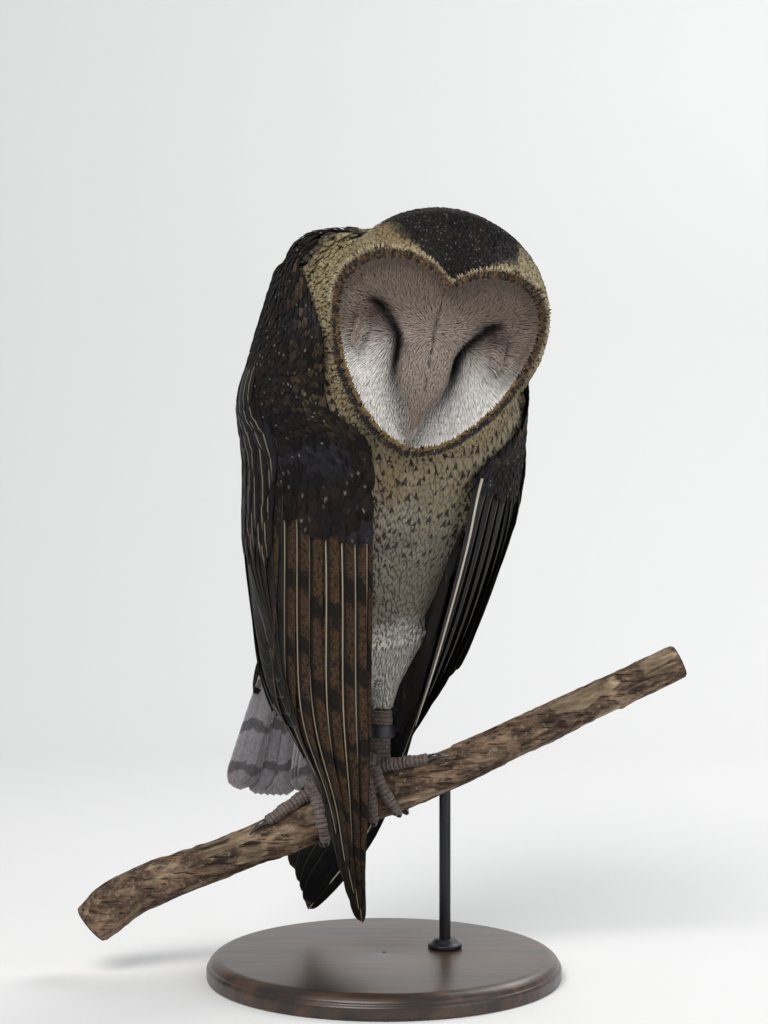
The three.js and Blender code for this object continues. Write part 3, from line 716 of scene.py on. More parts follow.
# %% Groups: barbs of a feather, and a dark spot
FULL_TURN = 6.2832
barb_group, given, result = add_group(
    "feather_barbs",
    {"Across": 0.0, "Along": 0.0, "Count": 24.0, "Slant": 0.35, "Raggedness": 0.15, "Place": None},
    ["Height", "Shaft"],
)
across, along, count, slant, ragged, place = given
phase = along - abs(across) * slant + place.noise(420.0) * ragged
join(barb_group, (phase * count * FULL_TURN).maths("SINE").times_plus(0.5, 0.5), result["Height"])
join(barb_group, abs(across).rise(0.10, 0.03), result["Shaft"])

spot_group, (spot, place), result = add_group("breast_spot", {"Spot": None, "Place": None}, ["Mask"])
aside, down, size = spot.parts()
half = size.maths("MAXIMUM", 0.01)
torn = place.noise(1100.0) - 0.5
aside = torn.times_plus(0.55, abs(aside) / half)
down = down / half
wedge = down.times_plus(0.34, 0.60) - aside
foot = torn.times_plus(0.5, down) - aside * 0.5
mask = wedge.rise(-0.05, 0.16) * foot.rise(1.0, 0.75) * down.rise(-1.25, -0.8) * size.rise(0.05, 0.15)
join(spot_group, mask, result["Mask"])
print("groups:", barb_group.name, spot_group.name)


# %% Plumage finish
SHADE, DEEP_SHADE = (0.45, 0.42, 0.40), (0.35, 0.33, 0.32)


def plumage_finish(name, barbs, slant, fleck=0.0, softness=0.82, shaft=0.25, bump=0.12, depth=0.22,
                   dusty=0.30, gloss=0.2, quill=None):
    """Feathers coloured by the point's own tone, with barbs as dark lines of a depth and dusty
    specks. Spots are drawn where the point's own place beside a spot says so. A feather with a
    mark above nought has a black streak, one with a mark below nought a pale fleck."""
    made = Finish(name, softness, Sheen_Weight=gloss / 2, Sheen_Roughness=0.5, Specular_IOR_Level=gloss)
    across, along = made.own_map()
    tone = made.kept("tone", "Color")
    lines, at_shaft = made.placed(barb_group, Across=across, Along=along, Count=barbs, Slant=slant,
                                  Place=made.place)
    colour = tone.under(((1.0 - lines) * depth, tone.times(*DEEP_SHADE)),
                        (at_shaft * shaft, tone.times(*SHADE)))
    speckle = made.place.noise(1500.0, 3.0, 0.6).rise(0.50, 0.66)
    spot, = made.placed(spot_group, Spot=made.kept("spot", "Vector"), Place=made.place)
    colour = colour.under((speckle * dusty, colour.times(*SHADE)), (spot * 0.9, SPOT))
    if fleck:
        mark = made.kept("mark")
        near = across * (across * 3.0)
        dot = along - 0.88
        dot = dot * (dot * 70.0) + near
        pale = dot.rise(0.50, 0.22) * mark.rise(-0.1, -1.0)
        streak = near.rise(0.5, 0.2) * along.rise(0.45, 0.8) * mark.rise(0.1, 1.0)
        colour = colour.under((pale * fleck, "#9b968f"), (streak * 0.85, "#0b0a0a"))
    if quill:
        colour = colour.under((abs(across).rise(0.14, 0.04) * 0.75, quill))
    return made.done(colour, lines, bump, 0.5)


plumage_soot = plumage_finish("sooty_plumage", 9.0, 0.45, fleck=0.5, gloss=0.07)
plumage_long = plumage_finish("long_coverts", 26.0, 0.2, fleck=0.3, gloss=0.07, quill="#7d766a")
plumage_soft = plumage_finish("body_plumage", 7.0, 0.5, softness=0.88, shaft=0.1, bump=0.06, depth=0.16,
                              dusty=0.22)
plumage_down = plumage_finish("leg_down", 7.0, 0.6, softness=0.9, shaft=0.0, depth=0.06, dusty=0.04)
plumage_face = plumage_finish("face_barbs", 5.0, 0.3, softness=0.9, shaft=0.0, bump=0.04, depth=0.08,
                              dusty=0.10)
plumage_rim = plumage_finish("ruff_feathers", 6.0, 0.4, softness=0.8, bump=0.06, dusty=0.4)

made = Finish("skin_under_coat", 0.85, Specular_IOR_Level=0.2)
tone = made.kept("tone", "Color")
felt = made.place.noise(900.0, 4.0, 0.7)
skin_finish = made.done(tone.under((felt * 0.6, tone.times(0.5, 0.48, 0.46))), felt, 0.4, 0.8)
dress(skin, skin_finish, "buff_feather", *FLESH)
print("plumage finishes ready")

# %% [markdown]
# ## Small feathers
# Every small feather is the same idea at another size: a curved blade from a root in the skin
# through a middle point to a tip, a little arched across, with a torn tip. All feathers of a
# region are worked out together as arrays and become one mesh. Each is a closed thin shell, so
# that it stays solid from every side. Its root's place on an unwrap of the body is kept too.

# %% Blades from arrays
def closed_rings(count, rows, columns):
    """Quads round closed rings and the triangles that cap both ends of each blade."""
    j = np.arange(1, columns - 1)
    first = np.stack([0 * j, j + 1, j], 1)
    last = np.stack([0 * j, j, j + 1], 1) + (rows - 1) * columns
    caps = repeated(np.concatenate([first, last]), rows * columns, count)
    return grid_quads(rows, columns, wrap=True, count=count), caps


# Outlines of a feather: shares along it, and its width there as a share of the widest.
BLADE = [0, 0.25, 0.55, 0.82, 1], [0.5, 0.9, 1.0, 0.8, 0.34]
SOFT = [0, 0.3, 0.6, 0.85, 1], [0.6, 0.95, 1.0, 0.7, 0.22]
TUFT = [0, 0.3, 0.6, 0.85, 1], [0.7, 1.0, 0.85, 0.5, 0.12]


def blades(root, middle, tip, out_root, out_tip, width, rows, columns, outline, arch, torn):
    """Points of many blades: a curve of second degree through root, middle and tip, plus a
    sideways share times the half width, plus an arch that falls with the square of that share.
    Near the tip each strip runs on by its own random length."""
    t = np.linspace(0, 1, rows)[None, :, None]
    bend = 2 * middle - (root + tip) / 2
    a, b, c = root[:, None], bend[:, None], tip[:, None]
    line = (1 - t) ** 2 * a + 2 * t * (1 - t) * b + t * t * c
    along = unit(2 * (1 - t) * (b - a) + 2 * t * (c - b))
    out = unit(out_root[:, None] * (1 - t) + out_tip[:, None] * t)
    aside = unit(np.cross(along, out))
    out = np.cross(aside, along)
    half = np.interp(t, *outline) * width[:, None, None] / 2
    s = np.linspace(-1, 1, columns)[None, None, :, None]
    half, aside, along, out = (part[:, :, None] for part in (half, aside, along, out))
    points = line[:, :, None] + aside * half * s + out * half * arch * (1 - s * s)
    length = np.linalg.norm(tip - root, axis=1)[:, None, None, None]
    tear = rng.uniform(-1, 1, (len(root), 1, columns, 1)) * torn * length
    return points + along * tear * smoothstep(t, 0.45, 1.0)[:, :, None]


def nearest_skin(p):
    """The skin's nearest place to each point, and the smooth normal there."""
    found = [skin_tree.find_nearest(Vector(q)) for q in p]
    at = np.array([f[0] for f in found])
    return at, unit(skin_out[skin_tris[[f[2] for f in found]]].sum(1))


def even_roots(wanted, spacing):
    """Places spread evenly over the skin's triangles where wanted: random places weighted by
    area, and of those that share a cell of a lattice only the first is kept, three times over
    with the lattice shifted."""
    a, b, c = (skin_at[skin_tris[wanted, k]] for k in range(3))
    area = np.linalg.norm(np.cross(b - a, c - a), axis=1) / 2
    n = int(5 * area.sum() / spacing**2)
    pick = rng.choice(len(area), n, p=area / area.sum())
    r = rng.random((n, 2))
    r = np.where(r.sum(1, keepdims=True) > 1, 1 - r, r)
    p = a[pick] + r[:, :1] * (b - a)[pick] + r[:, 1:] * (c - a)[pick]
    for shift in (0.0, 0.5, 0.27):
        cell = np.floor(p / (spacing * 0.86) + shift).astype(np.int64)
        p = p[np.sort(np.unique(cell, axis=0, return_index=True)[1])]
    return p


HEAD_ON_UNWRAP = np.array([0.5, 0.74])
PATCH = 0.003


def skin_unwrap(p):
    """A place on an unwrap of the skin. The head is spread flat round the axis of the face,
    in the upper half, and the body is rolled off a cylinder in the lower half."""
    turn, polar, size = skull_angles(p)
    r = 0.24 * polar / 180
    head = HEAD_ON_UNWRAP + np.stack([r * np.sin(np.radians(turn)), r * np.cos(np.radians(turn))], -1)
    ahead, left, height = np.moveaxis(in_body(p) / MM, -1, 0)
    bearing = np.arctan2(left, ahead - 25)
    rolled = np.stack([0.5 + bearing / (2 * np.pi) * 0.96, 0.02 + 0.44 * np.clip(height / 290, 0, 1)], -1)
    return np.where((size < 1.22)[..., None], head, rolled)


def feather_piece(name, points, tone, mark, bake, finish, slot, spot=None):
    """Many blades as one mesh that rides on the body. tone is a colour per blade or per point,
    mark a number per blade, bake the root's place on the unwrap, and spot each point's place
    beside the nearest dark spot."""
    n, rows, columns, _ = points.shape
    quads, tris = closed_rings(n, rows, columns)
    v, u = np.meshgrid(np.linspace(0, 1, rows), np.linspace(0, 1, columns), indexing="ij")
    own = np.broadcast_to(np.stack([u, v], -1), (n, rows, columns, 2))
    patch = bake[:, None, None] + (own - 0.5) * PATCH
    piece = add_mesh(name, points.reshape(-1, 3), quads, tris,
                     uv={"UVMap": own.reshape(-1, 2), "OFBake": patch.reshape(-1, 2)})
    if tone.ndim == 2:
        tone = tone[:, None, None]
    give(piece, "tone", np.broadcast_to(tone, points.shape).reshape(-1, 3))
    give(piece, "mark", np.repeat(mark, rows * columns))
    if spot is not None:
        give(piece, "spot", spot.reshape(-1, 4))
    print(name, n, "feathers,", 2 * len(quads) + len(tris), "triangles")
    dress(piece, finish, slot)


print("feather tools ready")

# %% [markdown]
# ## Body feathers
# Feathers lie the way rain runs off: backwards from the face over the crown, down the nape,
# breast and back. So the lie is a direction field, the face's backward direction bent towards
# straight down, laid flat on the skin. They are small and dense by the face and long on the
# belly. Each region is a piece of its own, which keeps the meshes small enough to handle.

# %% The lie of the coat, and the wings' place
# A wing's side from the shoulder down: its front and back edges, and how far it bulges.
RIGHT_WING = {
    "side": -1,
    "front": [[-43, -60, 364], [-31.4, -80, 326], [-29, -80.5, 292], [-9, -77, 271], [-8, -67, 232],
              [-8, -54, 196], [-9, -42, 150], [-9.5, -29, 100], [-11.5, -19, 60], [-10, -13, 29]],
    "back": [[-46, -8, 366], [-49, 3, 330], [-51, 6, 300], [-53, 9, 271], [-56, 14, 232],
             [-56, 18, 196], [-56, 13, 146], [-36, -9, 100], [-24, -13.5, 62], [-12, -13, 30]],
    "bulge": [[9], [24], [32], [39], [39], [36], [27], [6], [2.5], [0.5]],
}
LEFT_WING = {
    "side": 1,
    "front": [[72, 2, 330], [75, -1, 302], [69, -18, 280], [47, -42, 257], [42.6, -35, 232],
              [36, -27, 206], [22.5, 7, 151], [8, 31, 106], [-11.3, 38.5, 57], [-42, 41, 22]],
    "back": [[14, 34, 364], [9, 43, 320], [7, 47, 290], [4, 49, 262], [-1, 52, 232],
             [-6, 54, 196], [-12, 52, 150], [-32, 50, 104], [-57, 48, 60], [-45, 42, 24]],
    "bulge": [[12], [22], [38], [48], [48], [43], [34], [17], [5], [0.5]],
}
TABLE_DOWN, TABLE_ROUND = 145, 73
COVERED_DOWN = 0.47


def level_out(side, run):
    """Level directions square to a run of the wing's side, away from the body."""
    return unit(np.stack([side * run[..., 1], -side * run[..., 0], 0 * run[..., 0]], -1))


def wing_chord(wing, down):
    """The front edge, the chord to the back edge and the outward direction, at shares down."""
    front = along_rows(wing["front"], down) * MM
    chord = along_rows(wing["back"], down) * MM - front
    return front, chord, level_out(wing["side"], chord)


def wing_table(wing):
    """A wing's side as a table of places and outward directions: the chord from its front to
    its back edge plus a parabola sideways, with places evened by length round the side."""
    down = np.linspace(0, 1, TABLE_DOWN)
    front, chord, away = wing_chord(wing, down)
    bulge = along_rows(wing["bulge"], down) * MM
    u = np.linspace(0, 1, 97)[None, :, None]
    side = front[:, None] + chord[:, None] * u + (away * bulge)[:, None] * 4 * u * (1 - u)
    evenly = np.linspace(0, 1, TABLE_ROUND)
    at = np.empty((TABLE_DOWN, TABLE_ROUND, 3))
    lengths = np.stack([run_length(row) for row in side])
    for i, axis in np.ndindex(TABLE_DOWN, 3):
        at[i, :, axis] = np.interp(evenly * lengths[i, -1], lengths[i], side[i, :, axis])
    out = level_out(wing["side"], np.gradient(at, axis=1))
    return {"at": at, "out": out, "length": lengths[:, -1], "side": wing["side"]}


def read_table(values, down, around):
    """Values between the four nearest places of a wing's table. Past an edge they run on."""
    down, around = np.broadcast_arrays(np.asarray(down, float), np.asarray(around, float))
    i = np.clip((down * (TABLE_DOWN - 1)).astype(int), 0, TABLE_DOWN - 2)
    j = np.clip((around * (TABLE_ROUND - 1)).astype(int), 0, TABLE_ROUND - 2)
    f = (down * (TABLE_DOWN - 1) - i)[..., None]
    g = (around * (TABLE_ROUND - 1) - j)[..., None]
    upper = (1 - g) * values[i, j] + g * values[i, j + 1]
    lower = (1 - g) * values[i + 1, j] + g * values[i + 1, j + 1]
    return (1 - f) * upper + f * lower


def wing_out(table, down, around):
    """The outward direction of a wing's side at shares down and round it."""
    return unit(read_table(table["out"], down, around))


def on_wing(table, down, around, out):
    """A place on a wing's side from shares down and round it and a distance out, in metres."""
    return read_table(table["at"], down, around) + wing_out(table, down, around) * np.asarray(out)[..., None]


right_table, left_table = wing_table(RIGHT_WING), wing_table(LEFT_WING)


def from_wings(p):
    """Distance from each point to the nearer wing's covered side."""
    trees = []
    for table in (right_table, left_table):
        at = table["at"][:int(COVERED_DOWN * (TABLE_DOWN - 1)) + 1]
        trees.append(BVHTree.FromPolygons(at.reshape(-1, 3).tolist(), grid_quads(*at.shape[:2]).tolist()))
    return np.array([min((tree.find_nearest(Vector(q))[3] or 1.0) for tree in trees) for q in p])


def lie(p, out):
    """Unit direction of the feathers: away from the face on the head, turning downwards
    behind it and on the body, laid flat on the skin."""
    turn, polar, size = skull_angles(p)
    on_skull = smoothstep(size, 1.35, 1.1)[:, None]
    falling = (smoothstep(polar, 55, 125) * 1.1 + 0.35 * smoothstep(np.abs(turn), 70, 150))[:, None]
    head = -FACE * (1 - 0.6 * np.minimum(falling, 1)) - UP * falling
    body = in_body(p) / MM
    back = smoothstep(-body[:, 0], -10, 30)[:, None] * smoothstep(body[:, 2], 150, 90)[:, None]
    down = -UP - 0.10 * AHEAD - 0.7 * AHEAD * back
    lay = head * on_skull + down * (1 - on_skull)
    return unit(lay - out * np.sum(lay * out, 1, keepdims=True))


tri_middle = skin_at[skin_tris].mean(1)
tri_across, tri_up, tri_face = (in_head(tri_middle) / MM).T
tri_ahead, _, tri_height = (in_body(tri_middle) / MM).T
tri_size = skull_angles(tri_middle)[2]
tri_share = heart_share(tri_across, tri_up)
tri_disc = (tri_face > -17) & (tri_share < 0.97) | (tri_face > -9) & (tri_share < 1.0)
tri_skull = ~tri_disc & ((tri_size < 1.16) | (tri_face > -30) & (tri_share < 1.22))
tri_wing = from_wings(tri_middle) < 4.5 * MM
tri_leg = tri_height < 78
tri_neck = ~tri_disc & ~tri_skull & (tri_height > 205)
tri_belly = ~tri_disc & ~tri_skull & (tri_height <= 205) & ~tri_leg
tri_soot = plumage(tri_middle)[1]
print("skin triangles: head", tri_skull.sum(), "disc", tri_disc.sum(), "wings", tri_wing.sum())

# %% [markdown]
# ### Dark spots
# The breast carries dark drops. If each were drawn on a feather of its own, it would be cut by
# its neighbours. So the spots are laid out first, as places with a direction, and each feather
# then records how far every one of its points lies beside and below the nearest one. The
# finish draws the drop from those two lengths, so that it runs on across all feathers it meets.


# %% Lay out the spots
def spots_over(wanted, spacing, size):
    """Spots spread over part of the skin: place, direction down and aside, and size in mm,
    smaller where the belly is white and none where it's sooty."""
    at, out = nearest_skin(even_roots(wanted & (tri_soot < 0.6), spacing * MM))
    down = unit(lie(at, out) + rng.normal(0, 0.22, at.shape))
    fade = smoothstep(in_body(at)[:, 2] / MM, 102, 124)
    size = size * rng.uniform(0.65, 1.25, len(at)) * smoothstep(plumage(at)[1], 0.7, 0.3) * fade
    kept = size > 0.3
    return at[kept], down[kept], unit(np.cross(down, out))[kept], size[kept]


low_neck = tri_neck & (tri_height < 246) & (tri_ahead > 10)
laid = [spots_over(tri_skull, 3.4, 0.72), spots_over(tri_neck & ~low_neck, 3.6, 1.0),
        spots_over(low_neck, 4.2, 1.25), spots_over(tri_belly & ~tri_wing, 5.4, 1.7)]
spot_at, spot_down, spot_aside, spot_size = (np.concatenate(part) for part in zip(*laid))
spot_finder = KDTree(len(spot_at))
for k, place in enumerate(spot_at):
    spot_finder.insert(place, k)
spot_finder.balance()


def beside_spot(points, seen):
    """For the points of each blade, the lengths aside and down from the spot nearest to the
    part of the blade that is seen, in mm, and that spot's size."""
    near = np.array([spot_finder.find(p)[1] for p in seen])
    wide = (slice(None),) + (None,) * (points.ndim - 2)
    from_spot = (points - spot_at[near][wide]) / MM
    aside = np.sum(from_spot * spot_aside[near][wide], -1)
    down = np.sum(from_spot * spot_down[near][wide], -1)
    return np.stack([aside, down, spot_size[near][wide] + 0 * aside, 1 + 0 * aside], -1)


print(len(spot_at), "dark spots")

# %% Lay feathers on the skin
STRAY = 0.10


def lay_feathers(name, wanted, sizes, rows, columns, outline, torn, arch, uneven, finish, slot):
    """A region's feathers: even roots, a middle and a tip found by two steps along the lie
    back onto the skin, each raised by a share of the coat's depth, then blades through them.
    sizes holds their spacing, length, width and depth in mm."""
    spacing, length, width, depth = np.array(sizes) * MM
    root, out_root = nearest_skin(even_roots(wanted & ~tri_wing, spacing))
    n = len(root)
    reach = length * rng.uniform(0.85, 1.18, n)[:, None]
    way = lie(root, out_root) + rng.normal(0, STRAY, (n, 3))
    middle, out_middle = nearest_skin(root + unit(way) * reach / 2)
    way = lie(middle, out_middle) + rng.normal(0, STRAY / 2, (n, 3))
    tip, out_tip = nearest_skin(middle + unit(way) * reach / 2)
    tall = depth * rng.uniform(0.9, 1.1, n)[:, None]
    width = width * rng.uniform(0.85, 1.15, n)
    points = blades(root - 0.25 * MM * out_root, middle + out_middle * tall * 0.66,
                    tip + out_tip * tall * 0.92, out_root, out_tip, width, rows, columns,
                    outline, arch, torn)
    colour, soot = plumage(tip)
    tone = np.clip(colour * rng.uniform(1 - uneven, 1 + uneven, n)[:, None], 0, 1)
    chance = rng.random(n)
    some = rng.uniform(0.35, 1, n)
    mark = np.where(chance < 0.22, -some, np.where(chance > 0.70, some, 0.0)) * smoothstep(soot, 0.3, 0.6)
    spot = beside_spot(points, (middle + 2 * tip) / 3)
    feather_piece(name, points, tone, mark, skin_unwrap(root), finish, slot, spot)


SOOTY = plumage_soot, "soot_feather"
BUFFY = plumage_soft, "buff_feather"
DOWNY = plumage_down, "down_feather"
dark = tri_soot > 0.5
for name, wanted, sizes, *shape, cover in (
    ("crown_feathers", tri_skull, (1.8, 5.8, 3.0, 1.4), 4, 4, BLADE, 0.07, 0.12, 0.10, SOOTY),
    ("nape_feathers", tri_neck & dark, (2.5, 8, 5.0, 2.6), 5, 4, BLADE, 0.10, 0.1, 0.10, SOOTY),
    ("neck_feathers", tri_neck & ~dark, (1.4, 7.5, 3.8, 1.6), 4, 4, SOFT, 0.06, 0.05, 0.05, BUFFY),
    ("back_feathers", tri_belly & dark, (3.4, 13, 6.4, 2.6), 6, 5, BLADE, 0.10, 0.2, 0.10, SOOTY),
    ("breast_feathers", tri_belly & ~dark, (1.72, 10, 4.4, 1.7), 5, 4, SOFT, 0.06, 0.05, 0.05, BUFFY),
    ("leg_down", tri_leg, (1.35, 8, 1.9, 1.1), 5, 3, TUFT, 0.04, 0.08, 0.10, DOWNY),
):
    lay_feathers(name, wanted, sizes, *shape, *cover)

# %% The skin's own markings
skin_colour = plumage(skin_at)[0]
aside, down, size, _ = beside_spot(skin_at[:, None], skin_at)[:, 0].T
from_middle = np.hypot(aside, down * 0.8) / np.maximum(size, 0.01)
skin_colour = blend(skin_colour, SPOT, 0.9 * smoothstep(from_middle, 1.1, 0.6))
print("the skin carries the same marks")

# %% [markdown]
# ## The face
# The disc is a mat of fine loose barbs that fan out from the eyes to the edge, and lie down
# along the ridge between them. They're too fine to lie on the skin's mesh, so they follow the
# face's formula itself. Round the heart stands the ruff, six rows of short stiff feathers,
# rusty and black, with pale tips outside. It is what makes the face read as a heart.

# %% Places and lie on the disc
EYE_ACROSS, EYE_UP = 18.0, 14.0


def on_face(across, up, lift):
    """A point of the face's relief from millimetres across and up, and a lift over it."""
    return on_head(np.stack([across, up, face_height(across, up) + lift], -1) * MM)


def face_out(across, up):
    """The relief's outward direction, from its slopes over half a millimetre."""
    h = 0.5
    slope_a = (face_height(across + h, up) - face_height(across - h, up)) / (2 * h)
    slope_u = (face_height(across, up + h) - face_height(across, up - h)) / (2 * h)
    slope_a, slope_u = np.clip(slope_a, -1.2, 1.2), np.clip(slope_u, -1.2, 1.2)
    return unit(-slope_a[..., None] * CHEEK - slope_u[..., None] * CROWN + FACE)


def face_lie(across, up):
    """Direction of the barbs as across and up: away from the nearer eye on the lobes. On the
    ridge it turns with height, from down and inwards at the bill, through outwards over the
    eyes, to upwards at the brow, so that the barbs part only along the middle."""
    sign = np.where(across > MIDDLE_ACROSS, 1.0, -1.0)
    side = np.abs(across - MIDDLE_ACROSS)
    away, _ = slit_place(across, up)
    from_eye = np.stack([across - MIDDLE_ACROSS - sign * EYE_ACROSS, up - EYE_UP], -1)
    out = unit(from_eye + np.stack([sign * 2.0, 0 * up], -1))
    turn = np.radians(-101 + 186 * smoothstep(up - 0.22 * side, 0, 34))
    ridge_way = np.stack([sign * np.cos(turn), np.sin(turn)], -1)
    on_ridge = smoothstep(away, -0.6, 1.2)[..., None]
    return unit(out * (1 - on_ridge) + ridge_way * on_ridge)


FOREHEAD, RIDGE, WEDGE, LOBE, LOBE_SHADE = "#77695e", "#a09287", "#8a7a70", "#f3efea", "#8d7d72"
SLIT_BLACK_AND_SHADE, SLIT_BROWN, DUSTY = "#0d0908", "#3a2722", "#6a5a4a"


def face_tone(across, up):
    """Colour of the disc: near white on the lobes and browner above, darker again on the brow
    and along the ridge, which is palest between the eyes, and almost black along the slits:
    dark feathers there, and painted shade in the creases."""
    away, along = slit_place(across, up)
    side = np.abs(across - MIDDLE_ACROSS)
    colour = blend(LOBE, LOBE_SHADE, 0.04 + 0.96 * smoothstep(up + 0.22 * (side - 20), -7, 20))
    ridge = blend(WEDGE, RIDGE, smoothstep(up, -26, 0))
    ridge = blend(ridge, FOREHEAD, smoothstep(up + 0.10 * side, 14, 36))
    soft = 2.2 * smoothstep(up, -6, -20)
    colour = blend(colour, ridge, smoothstep(away, -0.8 - soft, 1.6 + soft))
    colour = blend(colour, FOREHEAD, 0.7 * smoothstep(up + 0.25 * side, 30, 42) * (away < 0))
    streak = flat_grain(across, up * 0.25, 1.4, 31)
    fleck = smoothstep(flat_grain(across, up * 0.6, 0.9, 32), 0.35, 0.8)
    colour = colour * (1 + 0.07 * streak - 0.16 * fleck * smoothstep(away, -1, 2))[..., None]
    # The near-black along each slit is dark feathers and painted shade in the crease.
    strength = smoothstep(along, 0.03, 0.18) * (1 - 0.8 * smoothstep(along, 0.50, 0.82))
    near = bell(away, np.where(away > 0, 1.0, 3.4))
    around = bell(away, np.where(away > 0, 1.8, 8.0))
    around = around * smoothstep(along, 0.0, 0.12) * smoothstep(along, 1.25, 0.7)
    shade = np.exp(-((side - 31) / 10) ** 2 - ((up - 20 + 0.25 * (side - 31)) / 6) ** 2)
    colour = blend(colour, SLIT_BROWN, 0.74 * shade)
    colour = blend(colour, SLIT_BROWN, 0.5 * around)
    colour = blend(colour, SLIT_BLACK_AND_SHADE, np.clip(strength * near * 1.15, 0, 1))
    broken = smoothstep(flat_grain(0 * up, up, 2.6, 33), -0.05, 0.25)
    parting = bell(across - MIDDLE_ACROSS + 0.03 * (up - 10), 0.6) * broken
    parting = parting * smoothstep(up, -14, -8) * smoothstep(up, 29, 22)
    colour = blend(colour, SLIT_BLACK_AND_SHADE, 0.8 * parting)
    edge = smoothstep(heart_share(across, up), 0.84, 0.95)
    return blend(colour, DUSTY, 0.45 * edge * smoothstep(up, -12, 16))


print("disc tone at the lobe", face_tone(np.array([24.0]), np.array([-8.0])).round(2))

# %% Barbs of the disc
BARB_SPACING, BARB_WIDTH, BARB_LIFT = 0.80, 0.66, 0.55
BARB_ROWS, BARB_COLUMNS = 4, 3
UNWRAP_PER_MM = 0.07 / 50


def disc_roots(spacing):
    """Places spread evenly over the heart: a lattice with every second row shifted, jittered."""
    a, b = np.meshgrid(np.arange(-54, 54, spacing), np.arange(-44, 56, spacing * 0.87))
    a = a + (np.arange(len(b)) % 2)[:, None] * spacing / 2
    p = np.stack([a.ravel(), b.ravel()], 1) + rng.normal(0, spacing * 0.22, (a.size, 2))
    return p[heart_share(p[:, 0], p[:, 1]) < 0.945]


def barb_length(up, away):
    """Short beside the slits and on the ridge, long on the lobes and over the bill, in mm."""
    lobe = smoothstep(-away, 1.0, 10.0)
    ridge = smoothstep(away, 0, 3)
    bristly = 3.0 * smoothstep(up, -16, -24)
    return (2.6 + 4.6 * lobe) * (1 - ridge) + ridge * (3.0 + 2.0 * smoothstep(up, 14, 36) + bristly)


def face_barbs(name, roots):
    """Barbs through three points that step along the lie over the relief. One whose tip would
    sink into a slit from the ridge hangs over it instead."""
    n = len(roots)
    a, b = roots.T
    away, _ = slit_place(a, b)
    size = barb_length(b, away) * rng.uniform(0.8, 1.2, n)
    way = unit(face_lie(a, b) + rng.normal(0, 0.09, (n, 2)))
    m = roots + way * size[:, None] / 2
    way = unit(face_lie(*m.T) + way + rng.normal(0, 0.06, (n, 2)))
    e = m + way * size[:, None] / 2
    shrink = np.where(heart_share(*e.T) > 0.955, 0.5, 1.0)[:, None]
    m, e = roots + (m - roots) * shrink, roots + (e - roots) * shrink
    tall = BARB_LIFT * rng.uniform(0.7, 1.3, n)
    hang = np.where((away > 0) & (away < 5), 1.2, 50.0)
    lift_m = np.maximum(face_height(a, b) - hang / 2 - face_height(*m.T), 0)
    lift_e = np.maximum(face_height(a, b) - hang - face_height(*e.T), 0)
    middle = on_face(*m.T, -0.15 + 0.5 * tall + lift_m)
    tip = on_face(*e.T, -0.1 + tall + lift_e)
    width = BARB_WIDTH * rng.uniform(0.8, 1.2, n) * MM
    points = blades(on_face(a, b, -0.9), middle, tip, face_out(a, b), face_out(*e.T), width,
                    BARB_ROWS, BARB_COLUMNS, TUFT, 0.3, 0.08)
    t = np.linspace(0, 1, BARB_ROWS)[None, :, None]
    line = (1 - t) * roots[:, None] + t * e[:, None]
    tone = face_tone(line[..., 0], line[..., 1]) * rng.uniform(0.93, 1.06, n)[:, None, None]
    bake = HEAD_ON_UNWRAP + roots * UNWRAP_PER_MM
    tone = np.clip(tone, 0, 1)[:, :, None]
    feather_piece(name, points, tone, np.zeros(n), bake, plumage_face, "face_feather")


roots = disc_roots(BARB_SPACING)
on_left = roots[:, 0] > MIDDLE_ACROSS
face_barbs("face_barbs_right", roots[~on_left])
face_barbs("face_barbs_left", roots[on_left])

# %% Ruff round the heart
# Each row: its share of the heart's edge, its feathers' length and how far they stand, in mm.
RUFF_ROWS = [(0.936, 2.8, 0.5), (0.951, 2.8, 0.9), (0.966, 2.9, 1.1), (0.981, 2.9, 1.1),
             (0.998, 3.0, 1.0), (1.012, 3.2, 0.8)]
RUFF_SPACING, RUFF_WIDTH = 0.78, 1.2
RUSTY, RUFF_BLACK, GOLD, CREAM = "#44301f", "#0e0a09", "#75603c", "#b3a584"


def heart_edge(turn):
    """Across and up of the heart's edge at turns round its middle, both halves."""
    reach = np.interp(np.abs(turn), heart_turn, heart_reach)
    return HEART_MIDDLE + np.stack([reach * np.sin(turn), reach * np.cos(turn)], -1)


even_turn = np.linspace(-np.pi, np.pi, 1441)
edge_length = run_length(heart_edge(even_turn))


def ruff_row(share, length, stand):
    """Roots and tips of one row: the edge drawn in by a share, each feather pointing outward,
    tilted a little towards the chin and out of the disc."""
    count = int(edge_length[-1] / RUFF_SPACING)
    s = (np.arange(count) + rng.uniform(-0.35, 0.35, count)) * RUFF_SPACING
    turn = np.interp(s, edge_length, even_turn)
    edge = heart_edge(turn)
    near = heart_edge(turn + 0.01) - heart_edge(turn - 0.01)
    outward = unit(np.stack([-near[:, 1], near[:, 0]], 1))
    outward *= np.sign(np.sum(outward * (edge - HEART_MIDDLE), 1))[:, None]
    root = HEART_MIDDLE + (edge - HEART_MIDDLE) * share
    size = length * rng.uniform(0.85, 1.15, count)
    droop = np.stack([np.sign(edge[:, 0]) * 0.15, -0.25 + 0 * s], 1)
    tip = root + unit(outward + droop + rng.normal(0, 0.12, (count, 2))) * size[:, None]
    return turn, root, tip, np.full(count, stand)


def over_edge(q, lift):
    """A point near the heart's edge: on the relief inside it, and curving back outside it."""
    share = heart_share(*q.T)
    beyond = np.maximum(share - 0.99, 0) * 46
    inside = q / np.maximum(share / 0.99, 1)[:, None]
    out = face_height(*inside.T) - 0.45 * beyond - 0.05 * beyond**2 + lift
    return on_head(np.stack([*q.T, out], -1) * MM)


